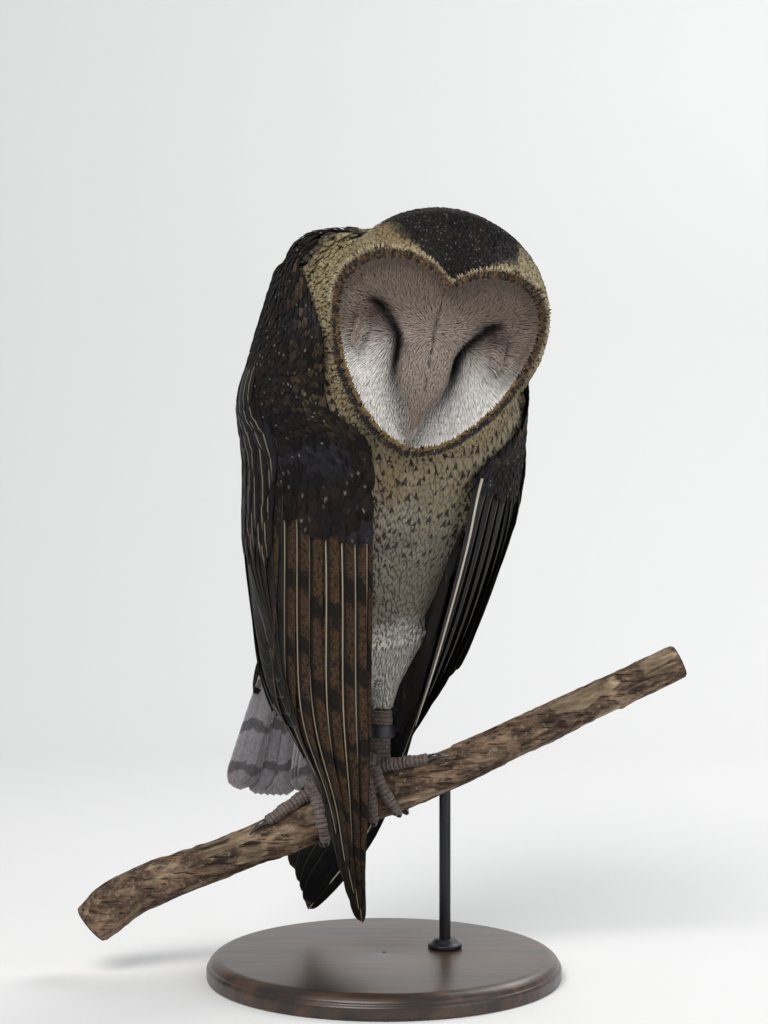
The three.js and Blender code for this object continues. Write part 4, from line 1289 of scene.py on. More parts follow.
rows = [ruff_row(*row) for row in RUFF_ROWS]
turn, root, tip, stand = (np.concatenate(part) for part in zip(*rows))
row_of = np.concatenate([np.full(len(row[0]), k) for k, row in enumerate(rows)])
n = len(turn)
start = over_edge(root, -0.8)
end = over_edge(tip, 0.1 + 0.7 * stand)
facing = np.broadcast_to(FACE, start.shape)
points = blades(start, over_edge((root + tip) / 2, 0.3 + 0.5 * stand), end, facing,
                unit(facing + 0.3 * unit(end - start)), RUFF_WIDTH * MM * rng.uniform(0.8, 1.2, n),
                4, 4, BLADE, 0.35, 0.12)
lower = smoothstep(np.abs(np.degrees(turn)), 74, 108)
inner, outer = smoothstep(row_of, 2.4, 0.6), smoothstep(row_of, 3.4, 4.6)
patch = 0.5 * flat_grain(*tip.T, 1.7, 41) + rng.uniform(-0.6, 0.6, n)
bias = (1 - lower) * (0.35 * (row_of == 0) - 0.08) + lower * (0.75 * (1 - inner) - 0.45 * inner)
golden = np.clip(lower * (0.6 * inner + 0.25) + 0.12 + rng.uniform(-0.25, 0.45, n), 0, 1)
tone = blend(blend(RUSTY, GOLD, golden), RUFF_BLACK, 0.95 * smoothstep(patch + 0.7 * bias, 0.0, 0.26))
tone = blend(tone, CREAM, (1 - lower) * outer * 0.8 * (rng.random(n) < 0.8))
tone *= rng.uniform(0.75, 1.2, n)[:, None]
bake = HEAD_ON_UNWRAP + root * UNWRAP_PER_MM
feather_piece("ruff", points, tone, np.zeros(n), bake, plumage_rim, "face_feather")

across, up, _ = (in_head(skin_at) / MM).T
# The skin under the disc takes the barbs' tone darkened by a quarter, painted shade beneath the barbs.
shaded_under_face = blend(face_tone(across, up) * 0.75, RUFF_BLACK, smoothstep(heart_share(across, up), 0.90, 0.94))
give(skin, "tone", blend(skin_colour, shaded_under_face, in_face(skin_at)))
print("the ruff has", n, "feathers")

# %% [markdown]
# ### Lids and bill
# Under each closed slit lies the eye, with the upper lid drawn down to meet the lower one. It
# is a flattened ball with a groove where the lids meet and fine wrinkles that follow it. Barbs
# of the ridge hang over the slit. The bill is a hooked cone, almost covered by bristles.

# %% Closed lids
EYEBALL_AT, EYEBALL_HALF = (19.5, 18.0, -9.0), np.array([8.0, 6.5, 5.0])


def lid_ball(side):
    """A ball flattened by its three half sizes, whose distance from the middle drops by a
    bell-shaped groove along the line of the lids and by small ripples beside it."""
    polar = np.linspace(0.02, np.pi - 0.02, 60)[:, None]
    turn = np.linspace(0, 2 * np.pi, 96, endpoint=False)[None, :]
    x, y, z = np.broadcast_arrays(np.sin(polar) * np.cos(turn), np.sin(polar) * np.sin(turn), np.cos(polar))
    line = y - 0.18 * (x * side) + 0.35 * x**2 - 0.1
    groove = 0.10 * bell(line, 0.07) + 0.012 * np.sin(line * 48) * bell(line, 0.5)
    q = np.stack([x, y, z], -1) * (1 - groove * (z > 0))[..., None] * EYEBALL_HALF * 0.97
    across, up, out = EYEBALL_AT
    return on_head((q + [side * across + MIDDLE_ACROSS * 0.5, up, out]) * MM)


# The lids take the slits' near-black, which is partly painted shade of the slits.
made = Finish("lid_skin", 0.55, Specular_IOR_Level=0.35)
pores = made.place.noise(1800.0, 4.0, 0.6)
lid_finish = made.done(pores.between(SLIT_BLACK_AND_SHADE, "#241816"), pores, 0.15, 0.6)
for side, label in ((-1, "right"), (1, "left")):
    lids = add_mesh("lids_" + label, *closed_tube(lid_ball(side)))
    dress(lids, lid_finish, "eyelid", "eye_" + label)
print("lids closed")

# %% Bill
BILL_RINGS, BILL_SIDES = 48, 40
t = np.linspace(0, 1, BILL_RINGS)[:, None]
turn = np.linspace(0, 2 * np.pi, BILL_SIDES, endpoint=False)[None, :]
size = 1 - 0.93 * t**1.9
out = along_rows([[5.2], [5.5], [6.0], [7.0], [7.9], [4.2]], t[:, 0])
half_wide, half_high = 4.3 * size, 6.0 * size
lift = half_high * np.sin(turn) * (1 + 0.14 * np.maximum(np.sin(turn), 0) ** 6)
cere = 0.35 * bell(t - 0.24, 0.10) * (np.sin(turn) > -0.3)
hook = np.stack([
    MIDDLE_ACROSS * (1 - 0.35 * t) + (half_wide + cere) * np.cos(turn),
    -11 - 25.6 * t + 0.25 * lift,
    out + lift - 0.4 * half_high + cere * np.sin(turn),
], -1)
bill_finish = two_tone("bill_horn", 0.38, ("#6f5f57", "#a39086"), (900.0, 900.0, 160.0), 3.0, 0.08, 0.4,
                       Coat_Weight=0.15, Subsurface_Weight=0.05)
dress(add_mesh("bill_horn_hook", *closed_tube(on_head(hook * MM))), bill_finish, "bill_horn", "bill")
print("bill of", BILL_RINGS, "rings")

# %% [markdown]
# ## Wings
# A folded wing shows its order: small coverts in rows like roof tiles, and under their ends the
# long flight feathers, each laid over the one in front of it. They are drawn as places on the
# wing's side, how far down and how far round, so the whole fan bends with the wing. A flight
# feather is a vane with a narrow outer web and a broad inner one either side of a stiff shaft.

# %% Coverts in rows
WING_LENGTH = 335


def covert_rows(name, table, spans, ends, finish, lift):
    """Rows of coverts down a wing, as far as ends lets them reach at each place round it. spans
    holds where rows start and end, their spacing, the feather's length and width in mm. Each
    row is shifted by half a feather."""
    downs, rounds, sizes = [], [], []
    for low, high, spacing, length, width in spans:
        down = low
        while down < high:
            around = float(np.interp(down, np.linspace(0, 1, TABLE_DOWN), table["length"])) / MM
            count = max(int(around / (width * 0.58)), 3)
            shift = 0.5 * (len(downs) % 2)
            rounds.append((np.arange(count) + shift + rng.uniform(-0.18, 0.18, count)) / count)
            downs.append(np.full(count, down) + rng.uniform(-0.004, 0.004, count))
            sizes.append(np.tile([length, width], (count, 1)))
            down += spacing / WING_LENGTH
    down, r = np.concatenate(downs), np.clip(np.concatenate(rounds), 0.0, 1.0)
    size = np.concatenate(sizes) * rng.uniform(0.88, 1.12, (len(down), 1))
    kept = down + size[:, 0] / WING_LENGTH < np.interp(r, *ends) + 0.035
    down, r, size = down[kept], r[kept], size[kept]
    n = len(r)
    drift = -0.02 * smoothstep(r, 0.2, 0.9)
    run = size[:, 0] / WING_LENGTH
    edge = 1 - 0.9 * smoothstep(np.minimum(r, 1 - r), 0.05, 0.0)
    middle = on_wing(table, down + run / 2, r + drift / 2, (0.1 * edge + lift) * MM)
    tip = on_wing(table, down + run, r + drift, (lift + 0.75 * edge * rng.uniform(0.6, 1.3, n)) * MM)
    points = blades(on_wing(table, down, r, -1.6 * MM), middle, tip, wing_out(table, down, r),
                    wing_out(table, down + run, r), size[:, 1] * MM, 6, 6, BLADE, 0.16, 0.06)
    dark = blend(SOOT, SOOT_BROWN, 0.5 + 0.5 * grain(tip, 10 * MM, 12))
    dark = blend(dark, "#2c2c32", 0.6 * smoothstep(grain(tip, 22 * MM, 13), -0.1, 0.5))
    gold = smoothstep(r, 0.24, 0.03) * smoothstep(down, 0.30, 0.2) * (rng.random(n) < 0.45)
    dark = blend(dark, "#5d4f3b", 0.55 * gold * rng.uniform(0.2, 1, n))
    tone = dark * rng.uniform(0.7, 1.35, n)[:, None]
    chance = rng.random(n)
    mark = np.where(chance < 0.22, -rng.uniform(0.2, 0.75, n), np.where(chance > 0.7, 0.8, 0.0))
    bake = np.stack([0.96 - 0.2 * r if table["side"] > 0 else 0.04 + 0.2 * r, 0.98 - 0.5 * down], 1)
    feather_piece(name, points, tone, mark, bake, finish, "soot_feather")


SPANS = [(0.0, 0.10, 2.9, 8, 4.2), (0.10, 0.24, 3.3, 9.5, 4.8), (0.24, 0.36, 4.0, 12, 5.8),
         (0.36, 0.45, 5.2, 15, 7.0)]
LONG_SPANS = [(0.13, 0.40, 11.0, 38, 8.5)]
LONG_AT = [0, 0.34, 0.38, 0.95, 0.97]
covert_rows("right_coverts", right_table, SPANS, ([0, 1], [0.447, 0.327]), plumage_soot, 0.0)
covert_rows("left_coverts", left_table, SPANS, ([0, 0.25, 1], [0.33, 0.36, 0.33]), plumage_soot, 0.0)
covert_rows("right_long_coverts", right_table, LONG_SPANS, (LONG_AT, [0, 0, 0.47, 0.45, 0]),
            plumage_long, 1.0)
covert_rows("left_long_coverts", left_table, LONG_SPANS, (LONG_AT, [0, 0, 0.42, 0.42, 0]),
            plumage_long, 1.0)

# %% Flight feathers
WEB_COLUMNS, SHAFT_SIDES, ROWS = 13, 6, 44
VANE_THICK = 0.35
evenly = np.linspace(0, 1, ROWS)


def lens_faces(count, rows, columns):
    """Faces of closed shells stored as rings of a front row and a back row of points: quads
    round each ring, and strips that close both ends."""
    ring = 2 * columns
    j = np.arange(columns - 1)
    first = np.stack([j + 1, j, ring - 1 - j, ring - 2 - j], 1)
    last = np.stack([j, j + 1, ring - 2 - j, ring - 1 - j], 1) + (rows - 1) * ring
    ends = repeated(np.concatenate([first, last]), rows * ring, count)
    return np.concatenate([grid_quads(rows, ring, wrap=True, count=count), ends])


def long_feathers(name, shafts, outs, front_web, back_web, lift, tones, phases, curve, round_tip,
                  finish, shaft_width, shaft_finish, slot, *nodes):
    """Flight feathers from shaft lines, all as one mesh, and their shafts as another. Each web
    is a width to one side of the shaft that follows its own profile to a rounded tip. The
    vane bends down with the square of the distance from the shaft, and its front edge is
    lifted over the feather before it. Sizes are in mm, curve per mm, and webs in metres."""
    n = len(shafts)
    t = evenly
    length = np.linalg.norm(np.diff(shafts, axis=1), axis=2).sum(1)
    along = unit(np.gradient(shafts, axis=1))
    aside = unit(np.cross(along, outs))
    outs = np.cross(aside, along)
    s = np.linspace(-1, 1, WEB_COLUMNS)
    tip_part = np.clip((t - (1 - round_tip)) / round_tip, 0, 1)
    close = np.sqrt(np.clip(1 - tip_part**2, 0.0, 1)) * smoothstep(t, -0.02, 0.06)
    x = s * np.where(s < 0, front_web[:, :, None], back_web[:, :, None]) * close[None, :, None]
    x = x * (1 + 0.012 * np.sin(90 * t[None, :, None] + 9 * s + phases[:, None, None] * 7))
    mm = x / MM
    lift_front, lift_back = np.array(lift) * MM
    rising = smoothstep(t, 0.0, 0.08)
    lifted = (lift_front + (lift_back - lift_front) * (s + 1) / 2) * rising[None, :, None]
    drop = -mm * mm * curve / 2 * MM
    raised = (lifted + drop)[..., None]
    front = shafts[:, :, None] + aside[:, :, None] * x[..., None] + outs[:, :, None] * raised
    thick = VANE_THICK * MM * (0.25 + 0.75 * (1 - s**2))
    back = front - outs[:, :, None] * thick[:, None]
    points = np.concatenate([front, back[:, :, ::-1]], 2)
    u = np.broadcast_to(np.concatenate([s, s[::-1]]) / 2 + 0.5, points.shape[:3])
    v = np.broadcast_to(t[None, :, None], points.shape[:3])
    strip = (np.arange(n)[:, None, None] + 0.1 + 0.8 * u) / n
    bake = np.stack([0.02 + 0.46 * strip, 0.02 + 0.96 * v], -1)
    faces = lens_faces(n, ROWS, WEB_COLUMNS)
    piece = add_mesh(name, points.reshape(-1, 3), faces,
                     uv={"UVMap": np.stack([u, v], -1).reshape(-1, 2), "OFBake": bake.reshape(-1, 2)})
    give(piece, "tone", np.repeat(tones, ROWS * points.shape[2], 0))
    give(piece, "reach", (v * length[:, None, None] / MM).ravel())
    give(piece, "phase", np.repeat(phases, ROWS * points.shape[2]))
    dress(piece, finish, slot, *nodes)

    angle = np.linspace(0, 2 * np.pi, SHAFT_SIDES, endpoint=False)
    fat = (np.interp(t, [0, 1], shaft_width) / 2 * MM)[None, :, None]
    core = shafts + outs * ((lift_front + lift_back) / 2 * rising)[None, :, None]
    ring = (core[:, :, None] + aside[:, :, None] * (fat * np.cos(angle))[..., None]
            + outs[:, :, None] * (0.75 * fat * np.sin(angle))[..., None])
    quads, tris = closed_rings(n, ROWS, SHAFT_SIDES)
    dress(add_mesh(name + "_shafts", ring.reshape(-1, 3), quads[:, ::-1], tris[:, ::-1]), shaft_finish, slot)
    print(name, n, "feathers,", 2 * len(faces), "triangles")


def flight_finish(name, pale, dark, edge, worn, bar_every=31.0, bar_share=0.34, mottle=0.8, fade=0.6,
                  bars=0.85, overlap_shade=0.8):
    """Webs coloured by each feather's tone: mottled brown with broad dark bars on the outer
    web, darker on the inner as painted shade under the overlapping feather, with a dark band
    along the shaft's front side that is partly painted shade, barbs as slanted lines, and an
    edge worn by a share."""
    made = Finish(name, 0.58, Sheen_Weight=0.03, Specular_IOR_Level=0.12)
    across, along = made.own_map()
    wander = made.place.noise(160.0, 3.0, 0.6)
    turn = made.kept("reach") / bar_every + wander * 0.35 + made.kept("phase") - abs(across) * 0.12
    wave = turn.maths("FRACT")
    bar = wave.rise(0.0, 0.05) * wave.rise(bar_share, bar_share - 0.08)
    flat = made.place.scaled(1.0, 1.0, 0.6)
    specks = flat.noise(620.0, 4.0, 0.75).rise(0.44, 0.58)
    curls = abs(flat.noise(480.0, 3.0, 0.7) - 0.5).rise(0.035, 0.008)
    # beside is a dark band along the shaft's front side, partly painted shade; the inner web is darkened
    # below as painted shade under the next feather.
    beside = across.rise(-0.42, -0.22) * across.rise(0.02, -0.04)
    rim = (abs(across).rise(0.88, 0.99) * 0.35).maths("MAXIMUM", along.rise(0.965, 0.995))
    lines, _ = made.placed(barb_group, Across=across, Along=along, Count=150.0, Slant=0.10, Raggedness=0.02,
                           Place=made.place)
    colour = made.kept("tone", "Color").under(
        (specks * mottle, dark), (curls * 0.6, pale), (bar * bars, dark),
        (across.rise(0.25, 0.6).maths("MAXIMUM", beside) * overlap_shade, dark),
        (along.rise(0.5, 0.95) * fade, dark), (rim * worn, edge))
    return made.done(colour.under((lines * 0.18, colour.times(0.5, 0.5, 0.5))), lines, 0.12, 0.6)


def shaft_finish(name, tip_code, code):
    """Horn, paler and darker along the feather in soft streaks."""
    return two_tone(name, 0.4, (tip_code, code), (400.0, 400.0, 60.0), 3.0, 0.05, 0.3, Coat_Weight=0.1)


flight_brown = flight_finish("brown_flight", "#5e472f", "#0b0908", "#4a3e30", 0.5)
flight_dark = flight_finish("dark_flight", "#2b2929", "#09090a", "#6f675c", 0.6, mottle=0.7)
tail_grey = flight_finish("tail_grey", "#c9c4c6", "#2a2628", "#cbc5c2", 0.5, bar_every=24.0, bar_share=0.3,
                          mottle=0.22, fade=0.0, bars=0.6, overlap_shade=0.12)
shaft_pale = shaft_finish("pale_shaft", "#7a6d5b", "#a5977f")
shaft_white = shaft_finish("white_shaft", "#b0a48f", "#d9cfbd")
shaft_dull = shaft_finish("dull_shaft", "#35302b", "#4f4941")
print("flight finishes ready")


# %% Fans of the wings
def wing_shafts(table, feathers, lifts):
    """Shaft lines and outward directions from each feather's row of down and round."""
    path = np.stack([along_rows(np.reshape(row, (-1, 2)) / 1000, evenly) for row in feathers])
    out = np.repeat(np.asarray(lifts, float)[:, None], ROWS, 1) * MM
    lines = on_wing(table, path[..., 0], path[..., 1], out)
    for _ in range(16):
        lines[:, 1:-1] += 0.25 * (lines[:, 2:] + lines[:, :-2] - 2 * lines[:, 1:-1])
    return lines, wing_out(table, path[..., 0], path[..., 1])


def web(widths, at, shares):
    """Widths of a web in metres: one per feather in mm, times a share along it."""
    return np.reshape(widths, (-1, 1)) * np.interp(evenly, at, shares)[None, :] * MM


# Shafts in thousandths of the wing: down, round, down, round and so on from root to tip.
# Right primaries, from the leading one backwards.
RIGHT_PRIMARIES = [
    [300, 4, 450, 4, 600, 4, 740, 8, 850, 15, 930, 100, 985, 450],
    [300, 50, 458, 50, 602, 52, 708, 65, 800, 100, 880, 130, 950, 240, 995, 500],
    [300, 100, 458, 100, 602, 108, 705, 150, 790, 235, 870, 290, 925, 360, 965, 500],
    [300, 160, 458, 162, 602, 182, 705, 258, 785, 410, 850, 470, 900, 500, 935, 550],
    [300, 222, 450, 225, 580, 256, 680, 315, 755, 450, 820, 530, 870, 560, 900, 580],
    [300, 270, 458, 275, 568, 306, 655, 350, 728, 488, 790, 640, 845, 680],
    [300, 320, 450, 325, 560, 360, 650, 420, 720, 570, 765, 700, 795, 740],
    [300, 380, 420, 385, 520, 420, 610, 490, 680, 580, 720, 660, 740, 700],
]
# Right secondaries and tertials, from the lowest on the side up and round to the back.
RIGHT_SECONDARIES = [
    [260, 370, 400, 370, 540, 400, 640, 455, 705, 500],
    [260, 420, 400, 420, 530, 435, 630, 465, 690, 490],
    [260, 470, 400, 465, 520, 470, 615, 475, 670, 475],
    [260, 520, 400, 510, 510, 500, 600, 480, 650, 460],
    [240, 570, 380, 550, 500, 530, 585, 490, 630, 445],
    [220, 620, 360, 600, 480, 570, 570, 510, 610, 430],
    [300, 680, 420, 670, 530, 660, 630, 650, 690, 640],
    [300, 740, 420, 740, 530, 730, 630, 720, 685, 710],
    [280, 800, 420, 800, 530, 800, 620, 790, 680, 780],
    [260, 870, 400, 870, 510, 870, 610, 860, 670, 860],
    [240, 940, 380, 940, 500, 940, 590, 940, 655, 940],
]
# Left wing: its primaries reach below the branch, its secondaries end above it.
LEFT_PRIMARIES = [
    [330, 4, 450, 6, 600, 10, 750, 20, 860, 60, 940, 180, 985, 350],
    [300, 60, 450, 60, 600, 70, 750, 120, 860, 200, 930, 320, 975, 450],
    [300, 110, 450, 110, 600, 130, 750, 220, 850, 330, 920, 450, 960, 550],
    [300, 160, 450, 165, 600, 200, 740, 330, 840, 470, 900, 580, 945, 660],
    [300, 210, 450, 220, 600, 270, 730, 430, 820, 580, 880, 700, 925, 780],
    [300, 270, 450, 285, 580, 340, 710, 520, 800, 690, 860, 800, 905, 870],
    [300, 330, 440, 350, 560, 410, 680, 580, 770, 760, 840, 870, 880, 930],
]
LEFT_SECONDARIES = [
    [260, 300, 400, 310, 520, 350, 600, 410, 655, 470],
    [260, 360, 400, 370, 520, 410, 610, 470, 665, 530],
    [260, 420, 400, 430, 520, 470, 610, 530, 670, 590],
    [260, 480, 400, 490, 520, 530, 610, 590, 670, 650],
    [260, 550, 400, 560, 520, 590, 610, 650, 670, 710],
    [260, 620, 400, 630, 520, 660, 610, 710, 670, 770],
    [260, 700, 400, 710, 520, 730, 610, 770, 670, 820],
    [260, 780, 400, 790, 520, 800, 610, 830, 660, 870],
    [260, 860, 400, 870, 520, 870, 600, 890, 650, 920],
    [240, 940, 380, 940, 500, 950, 580, 950, 630, 970],
]
HALFWAY, LATE = [0, 0.5, 0.75, 1], [0, 0.6, 0.85, 1]
PRIMARY_CURVE, SECONDARY_CURVE = 1 / 60, 1 / 55
DULL = (0.8, 0.4), shaft_dull
right, left = (0.9, -0.9), (-0.9, 0.9)
# Each fan: its table, shafts and lifts, the webs on both sides, the lift of its edges, its two
# colours, how far bars may shift, its curve, round tip and finish, and the pieces it makes.
FANS = [
    (right_table, RIGHT_PRIMARIES, [-0.9, -0.6, -0.35, -0.15, 0.0, 0.1, 0.15, 0.2],
     web([3.0, 5.6, 5.8, 6.6, 6.9, 6.6, 6.4, 6.4], HALFWAY, [1, 1, 0.66, 0.4]),
     web([8, 9, 10, 10, 10.5, 11, 12, 12], HALFWAY, [1, 1, 0.7, 0.4]),
     right, "#2c2119", "#3f2f20", 0.5, PRIMARY_CURVE, 0.12, flight_brown,
     [("right_primaries", slice(0, 8), (0.95, 0.4), shaft_pale, "wing_right_primaries")]),
    (right_table, RIGHT_SECONDARIES, np.linspace(0.25, 1.0, 11),
     web([6.0] * 11, LATE, [1, 1, 0.95, 0.75]), web([11.0] * 11, LATE, [1, 1, 0.95, 0.8]),
     (0.9, -0.8), "#171514", "#241d18", 1.0, SECONDARY_CURVE, 0.07, flight_dark,
     [("right_secondaries", slice(0, 11), *DULL, "wing_right_secondaries")]),
    (left_table, LEFT_PRIMARIES, [1.2, -0.6, -0.35, -0.15, 0.0, 0.1, 0.2],
     web([8, 9, 10, 10, 11, 12, 12], LATE, [1, 1, 0.85, 0.5]),
     web([5.5, 5.5, 6, 6.4, 6.6, 6.8, 7], LATE, [1, 1, 0.85, 0.5]),
     left, "#131316", "#1e1b1a", 1.0, PRIMARY_CURVE, 0.08, flight_dark,
     [("left_leading_primary", slice(0, 1), (2.1, 1.0), shaft_white),
      ("left_primaries", slice(1, 7), (0.9, 0.4), shaft_dull, "wing_left_primaries")]),
    (left_table, LEFT_SECONDARIES, np.linspace(0.3, 1.0, 10),
     web([12.0] * 10, LATE, [1, 1, 0.95, 0.8]), web([6.5] * 10, LATE, [1, 1, 0.9, 0.7]),
     (-0.8, 0.9), "#151417", "#211c1a", 1.0, SECONDARY_CURVE, 0.07, flight_dark,
     [("left_secondaries", slice(0, 10), *DULL, "wing_left_secondaries")]),
]
for (table, feathers, lifts, front, back, lift, first, second, shift, curve, tip_share, finish,
     pieces) in FANS:
    lines, outs = wing_shafts(table, feathers, lifts)
    tones = blend(first, second, rng.random(len(feathers)))
    phases = rng.uniform(0, shift, len(feathers))
    for name, part, widths, horn, *nodes in pieces:
        long_feathers(name, lines[part], outs[part], front[part], back[part], lift, tones[part], phases[part],
                      curve, tip_share, finish, widths, horn, "flight_feather", *nodes)


# %% Soft feathers under the wings
def under_wing(name, wing, rows_down, bake_at):
    """Loose dark feathers that close the hollow inner side of a wing. They stand on the straight
    chord from its front to its back edge, a little towards the body."""
    n = 13 * len(rows_down)
    down = np.repeat(rows_down, 13) + rng.uniform(-0.008, 0.008, n)
    share = np.tile((np.arange(13) + 0.5) / 13, len(rows_down)) + rng.uniform(-0.03, 0.03, n)

    def place_at(d, inwards):
        front, chord, away = wing_chord(wing, d)
        at = front + chord * (0.11 + 0.78 * share)[:, None] + away * np.asarray(inwards * MM)[..., None]
        return at, -away

    reach = rng.uniform(0.085, 0.11, n)
    start, out_start = place_at(down, 2.0)
    middle, _ = place_at(down + reach / 2, 0.6)
    tip, out_tip = place_at(down + reach, 0.4 + rng.uniform(-0.4, 0.6, n))
    width = rng.uniform(8, 12, n) * MM
    points = blades(start, middle, tip, out_start, out_tip, width, 8, 7, SOFT, 0.10, 0.12)
    tone = blend("#181515", "#2a2422", rng.random(n))
    bake = np.stack([bake_at + 0.08 * share, 0.98 - 0.45 * down], 1)
    feather_piece(name, points, tone, np.zeros(n), bake, plumage_soft, "soot_feather")


under_wing("right_under_wing", RIGHT_WING, [0.30, 0.36, 0.42, 0.48, 0.54, 0.60], 0.30)
under_wing("left_under_wing", LEFT_WING, [0.34, 0.40, 0.46, 0.52, 0.58, 0.63], 0.62)

# %% [markdown]
# ## Tail
# Twelve broad feathers with rounded ends, pale grey with dark bars. The two in the middle lie
# on top of the rest, and each further one is tucked under its neighbour. They are built as the
# flight feathers are, from shafts that fan out from the rump. Short dark coverts hide the root.

# %% Tail feathers
TAIL_ROOT = np.array([-41, 36, 186]) * MM
TAIL_RIGHT, TAIL_LEFT = np.array([-90, 42, 88]) * MM, np.array([-34, 80, 80]) * MM
spread = TAIL_LEFT - TAIL_RIGHT
across_tail = unit(spread)
down_tail = unit(TAIL_RIGHT + spread / 2 - TAIL_ROOT)
behind_tail = unit(np.cross(across_tail, down_tail))
share = np.array([0.03, 0.07, 0.11, 0.31, 0.38, 0.46, 0.54, 0.62, 0.69, 0.89, 0.93, 0.97])
start = TAIL_ROOT + across_tail * ((2 * share - 1) * 14 * MM)[:, None]
end = TAIL_RIGHT + spread * (0.11 + 0.78 * share)[:, None]
end = end - down_tail * (5 * MM * (2 * share - 1) ** 2)[:, None]
t = evenly[None, :, None]
arch = 14 * np.sin(np.pi * evenly)[None, :] * (share * (1 - share))[:, None]
order = 3.2 * (0.5 - np.abs(share - 0.5))
lines = start[:, None] * (1 - t) + end[:, None] * t + behind_tail * ((arch + order[:, None]) * MM)[..., None]
half_web = np.interp(evenly, [0, 0.5, 0.9, 1], [4, 8.5, 10.4, 9.5])[None, :] * MM
front_share, back_share = np.where(share > 0.5, [[1.0], [0.72]], [[0.72], [1.0]])[..., None]
tones = blend("#a39ea4", "#bbb6ba", rng.random(len(share)))
phases = 0.25 + rng.uniform(-0.05, 0.05, len(share))
long_feathers("tail_feathers", lines, np.broadcast_to(behind_tail, lines.shape), front_share * half_web,
              back_share * half_web, (0, 0), tones, phases, 1 / 140, 0.12, tail_grey, (0.7, 0.3), shaft_pale,
              "tail_feather", "tail")

# %% Coverts over the root of the tail
row, aside = np.array([(k, u) for k in range(4) for u in np.linspace(-1, 1, 11 - k % 2)]).T
n = len(row)
down_by = (-10 + 9 * row + rng.uniform(-1.5, 1.5, n)) * MM
wide_by = aside * (12 + 2 * row) * MM
back_by = (5.2 - 3.2 * np.abs(aside) - 0.5 * row) * MM
root = TAIL_ROOT + down_tail * down_by[:, None] + across_tail * wide_by[:, None]
root = root + behind_tail * back_by[:, None]
length = rng.uniform(24, 30, n)[:, None] * MM
spreading = across_tail * aside[:, None]
middle = root + (down_tail + 0.10 * spreading) * length / 2 + behind_tail * 1.5 * MM
tip = root + (down_tail + 0.16 * spreading) * length - behind_tail * 0.6 * MM
facing = np.broadcast_to(behind_tail, root.shape)
points = blades(root, middle, tip, facing, facing, rng.uniform(9, 12, n) * MM, 8, 7, BLADE, 0.15, 0.08)
tone = blend(SOOT, SOOT_BROWN, rng.random(n))
bake = np.stack([0.86 + 0.04 * aside, 0.40 - 0.02 * row], 1)
feather_piece("tail_coverts", points, tone, -0.6 * (rng.random(n) < 0.5), bake, plumage_soot, "soot_feather")

# %% [markdown]
# ## Feet
# A barn owl's leg is feathered almost to the foot. The toes are bare and scaly, two in front
# here, one out to the side and one behind, and they wrap the branch. A toe is a tube along a
# path over the bark, with ripples on top for the scutes and swellings underneath for the pads.
# The tubes, the ball of the foot and the shank are then fused, because skin has no seams.

# %% The branch as a path, and places over its bark
# Middle of the branch and its radius, in mm, from its lower to its upper end.
BRANCH = np.array([
    [-153, 5, 25, 11.4], [-139, 6, 37, 12.4], [-112, 8, 50, 11], [-81, 9, 61, 10.6],
    [-34, 10, 80, 11.6], [-2, 10, 92.4, 11.6], [20, 10, 100.8, 10.9], [50, 11, 113, 10.4],
    [113, 13, 142.5, 9.5], [156, 15, 162.5, 9.2],
])
branch_t = np.linspace(0, 1, 1001)
branch_line = along_rows(BRANCH, branch_t)
branch_way = unit(np.gradient(branch_line[:, :3], axis=0))
# Turns round the branch and lengths along it, in degrees and mm, at each toe's root and end.
TOES = {
    "inner": ((18, 128), (0, -7)), "middle": ((18, 132), (1, 6)),
    "outer": ((12, 42), (3, 30)), "rear": ((-18, -150), (0, 9)),
}
LEG_SIDE = 16


def over_branch(x, turn, along, out):
    """A point over the bark in mm and its outward direction: at a distance along the branch,
    turned from its top towards the front by degrees, and out from its surface."""
    at = np.interp(x + along * 0.93, branch_line[:, 0], branch_t)
    here = along_rows(BRANCH, at)
    way = unit(np.stack([np.interp(at, branch_t, branch_way[:, k]) for k in range(3)], -1))
    front = unit(np.array([0.0, -1.0, 0.0]) + way * way[..., 1:2])
    top = np.cross(front, way)
    top = top * np.sign(top[..., 2:3])
    reach = (here[..., 3] + out)[..., None]
    a = np.radians(turn)[..., None]
    place = here[..., :3] + top * reach * np.cos(a) + front * reach * np.sin(a)
    return place, top * np.cos(a) + front * np.sin(a)


def toe_path(x, side, toe, share, out):
    """Places along a toe, as shares from its root to its end."""
    (turn0, turn1), (along0, along1) = TOES[toe]
    return over_branch(x, turn0 + (turn1 - turn0) * share, (along0 + (along1 - along0) * share) * side, out)


print("branch", round(float(run_length(branch_line[:, :3])[-1])), "mm long")


# %% Toes, shanks and the fused foot
def tube(line, out, radius_of):
    """A closed tube round a line: out and its cross direction times a radius that may depend on
    the turn round the ring, from 0 at the top."""
    along = unit(np.gradient(line, axis=0))
    aside = unit(np.cross(along, out))
    above = np.cross(aside, along)
    turn = np.linspace(0, 2 * np.pi, 24, endpoint=False)
    radius = radius_of(np.linspace(0, 1, len(line))[:, None], turn[None, :])
    return closed_tube(line[:, None] + above[:, None] * (radius * np.cos(turn))[..., None]
                       + aside[:, None] * (radius * np.sin(turn))[..., None])


def toe_radius(share, turn):
    """A toe falls towards the claw, swells at three pads below and ripples in scutes above."""
    top = smoothstep(np.cos(turn), -0.1, 0.5)
    below = smoothstep(-np.cos(turn), 0.0, 0.7)
    scutes = 0.55 * np.abs(np.sin(np.pi * 11 * share)) ** 0.6 * top
    pads = 0.45 * np.sin(np.pi * 3.2 * share) ** 2 * below
    knuckle = 0.30 * np.cos(2 * np.pi * 3.1 * share) * (1 - below)
    close = np.sqrt(np.clip(1 - np.clip((share - 0.93) / 0.07, 0, 1) ** 2, 0.04, 1))
    return (3.6 - 1.05 * share + scutes + pads + knuckle) * close


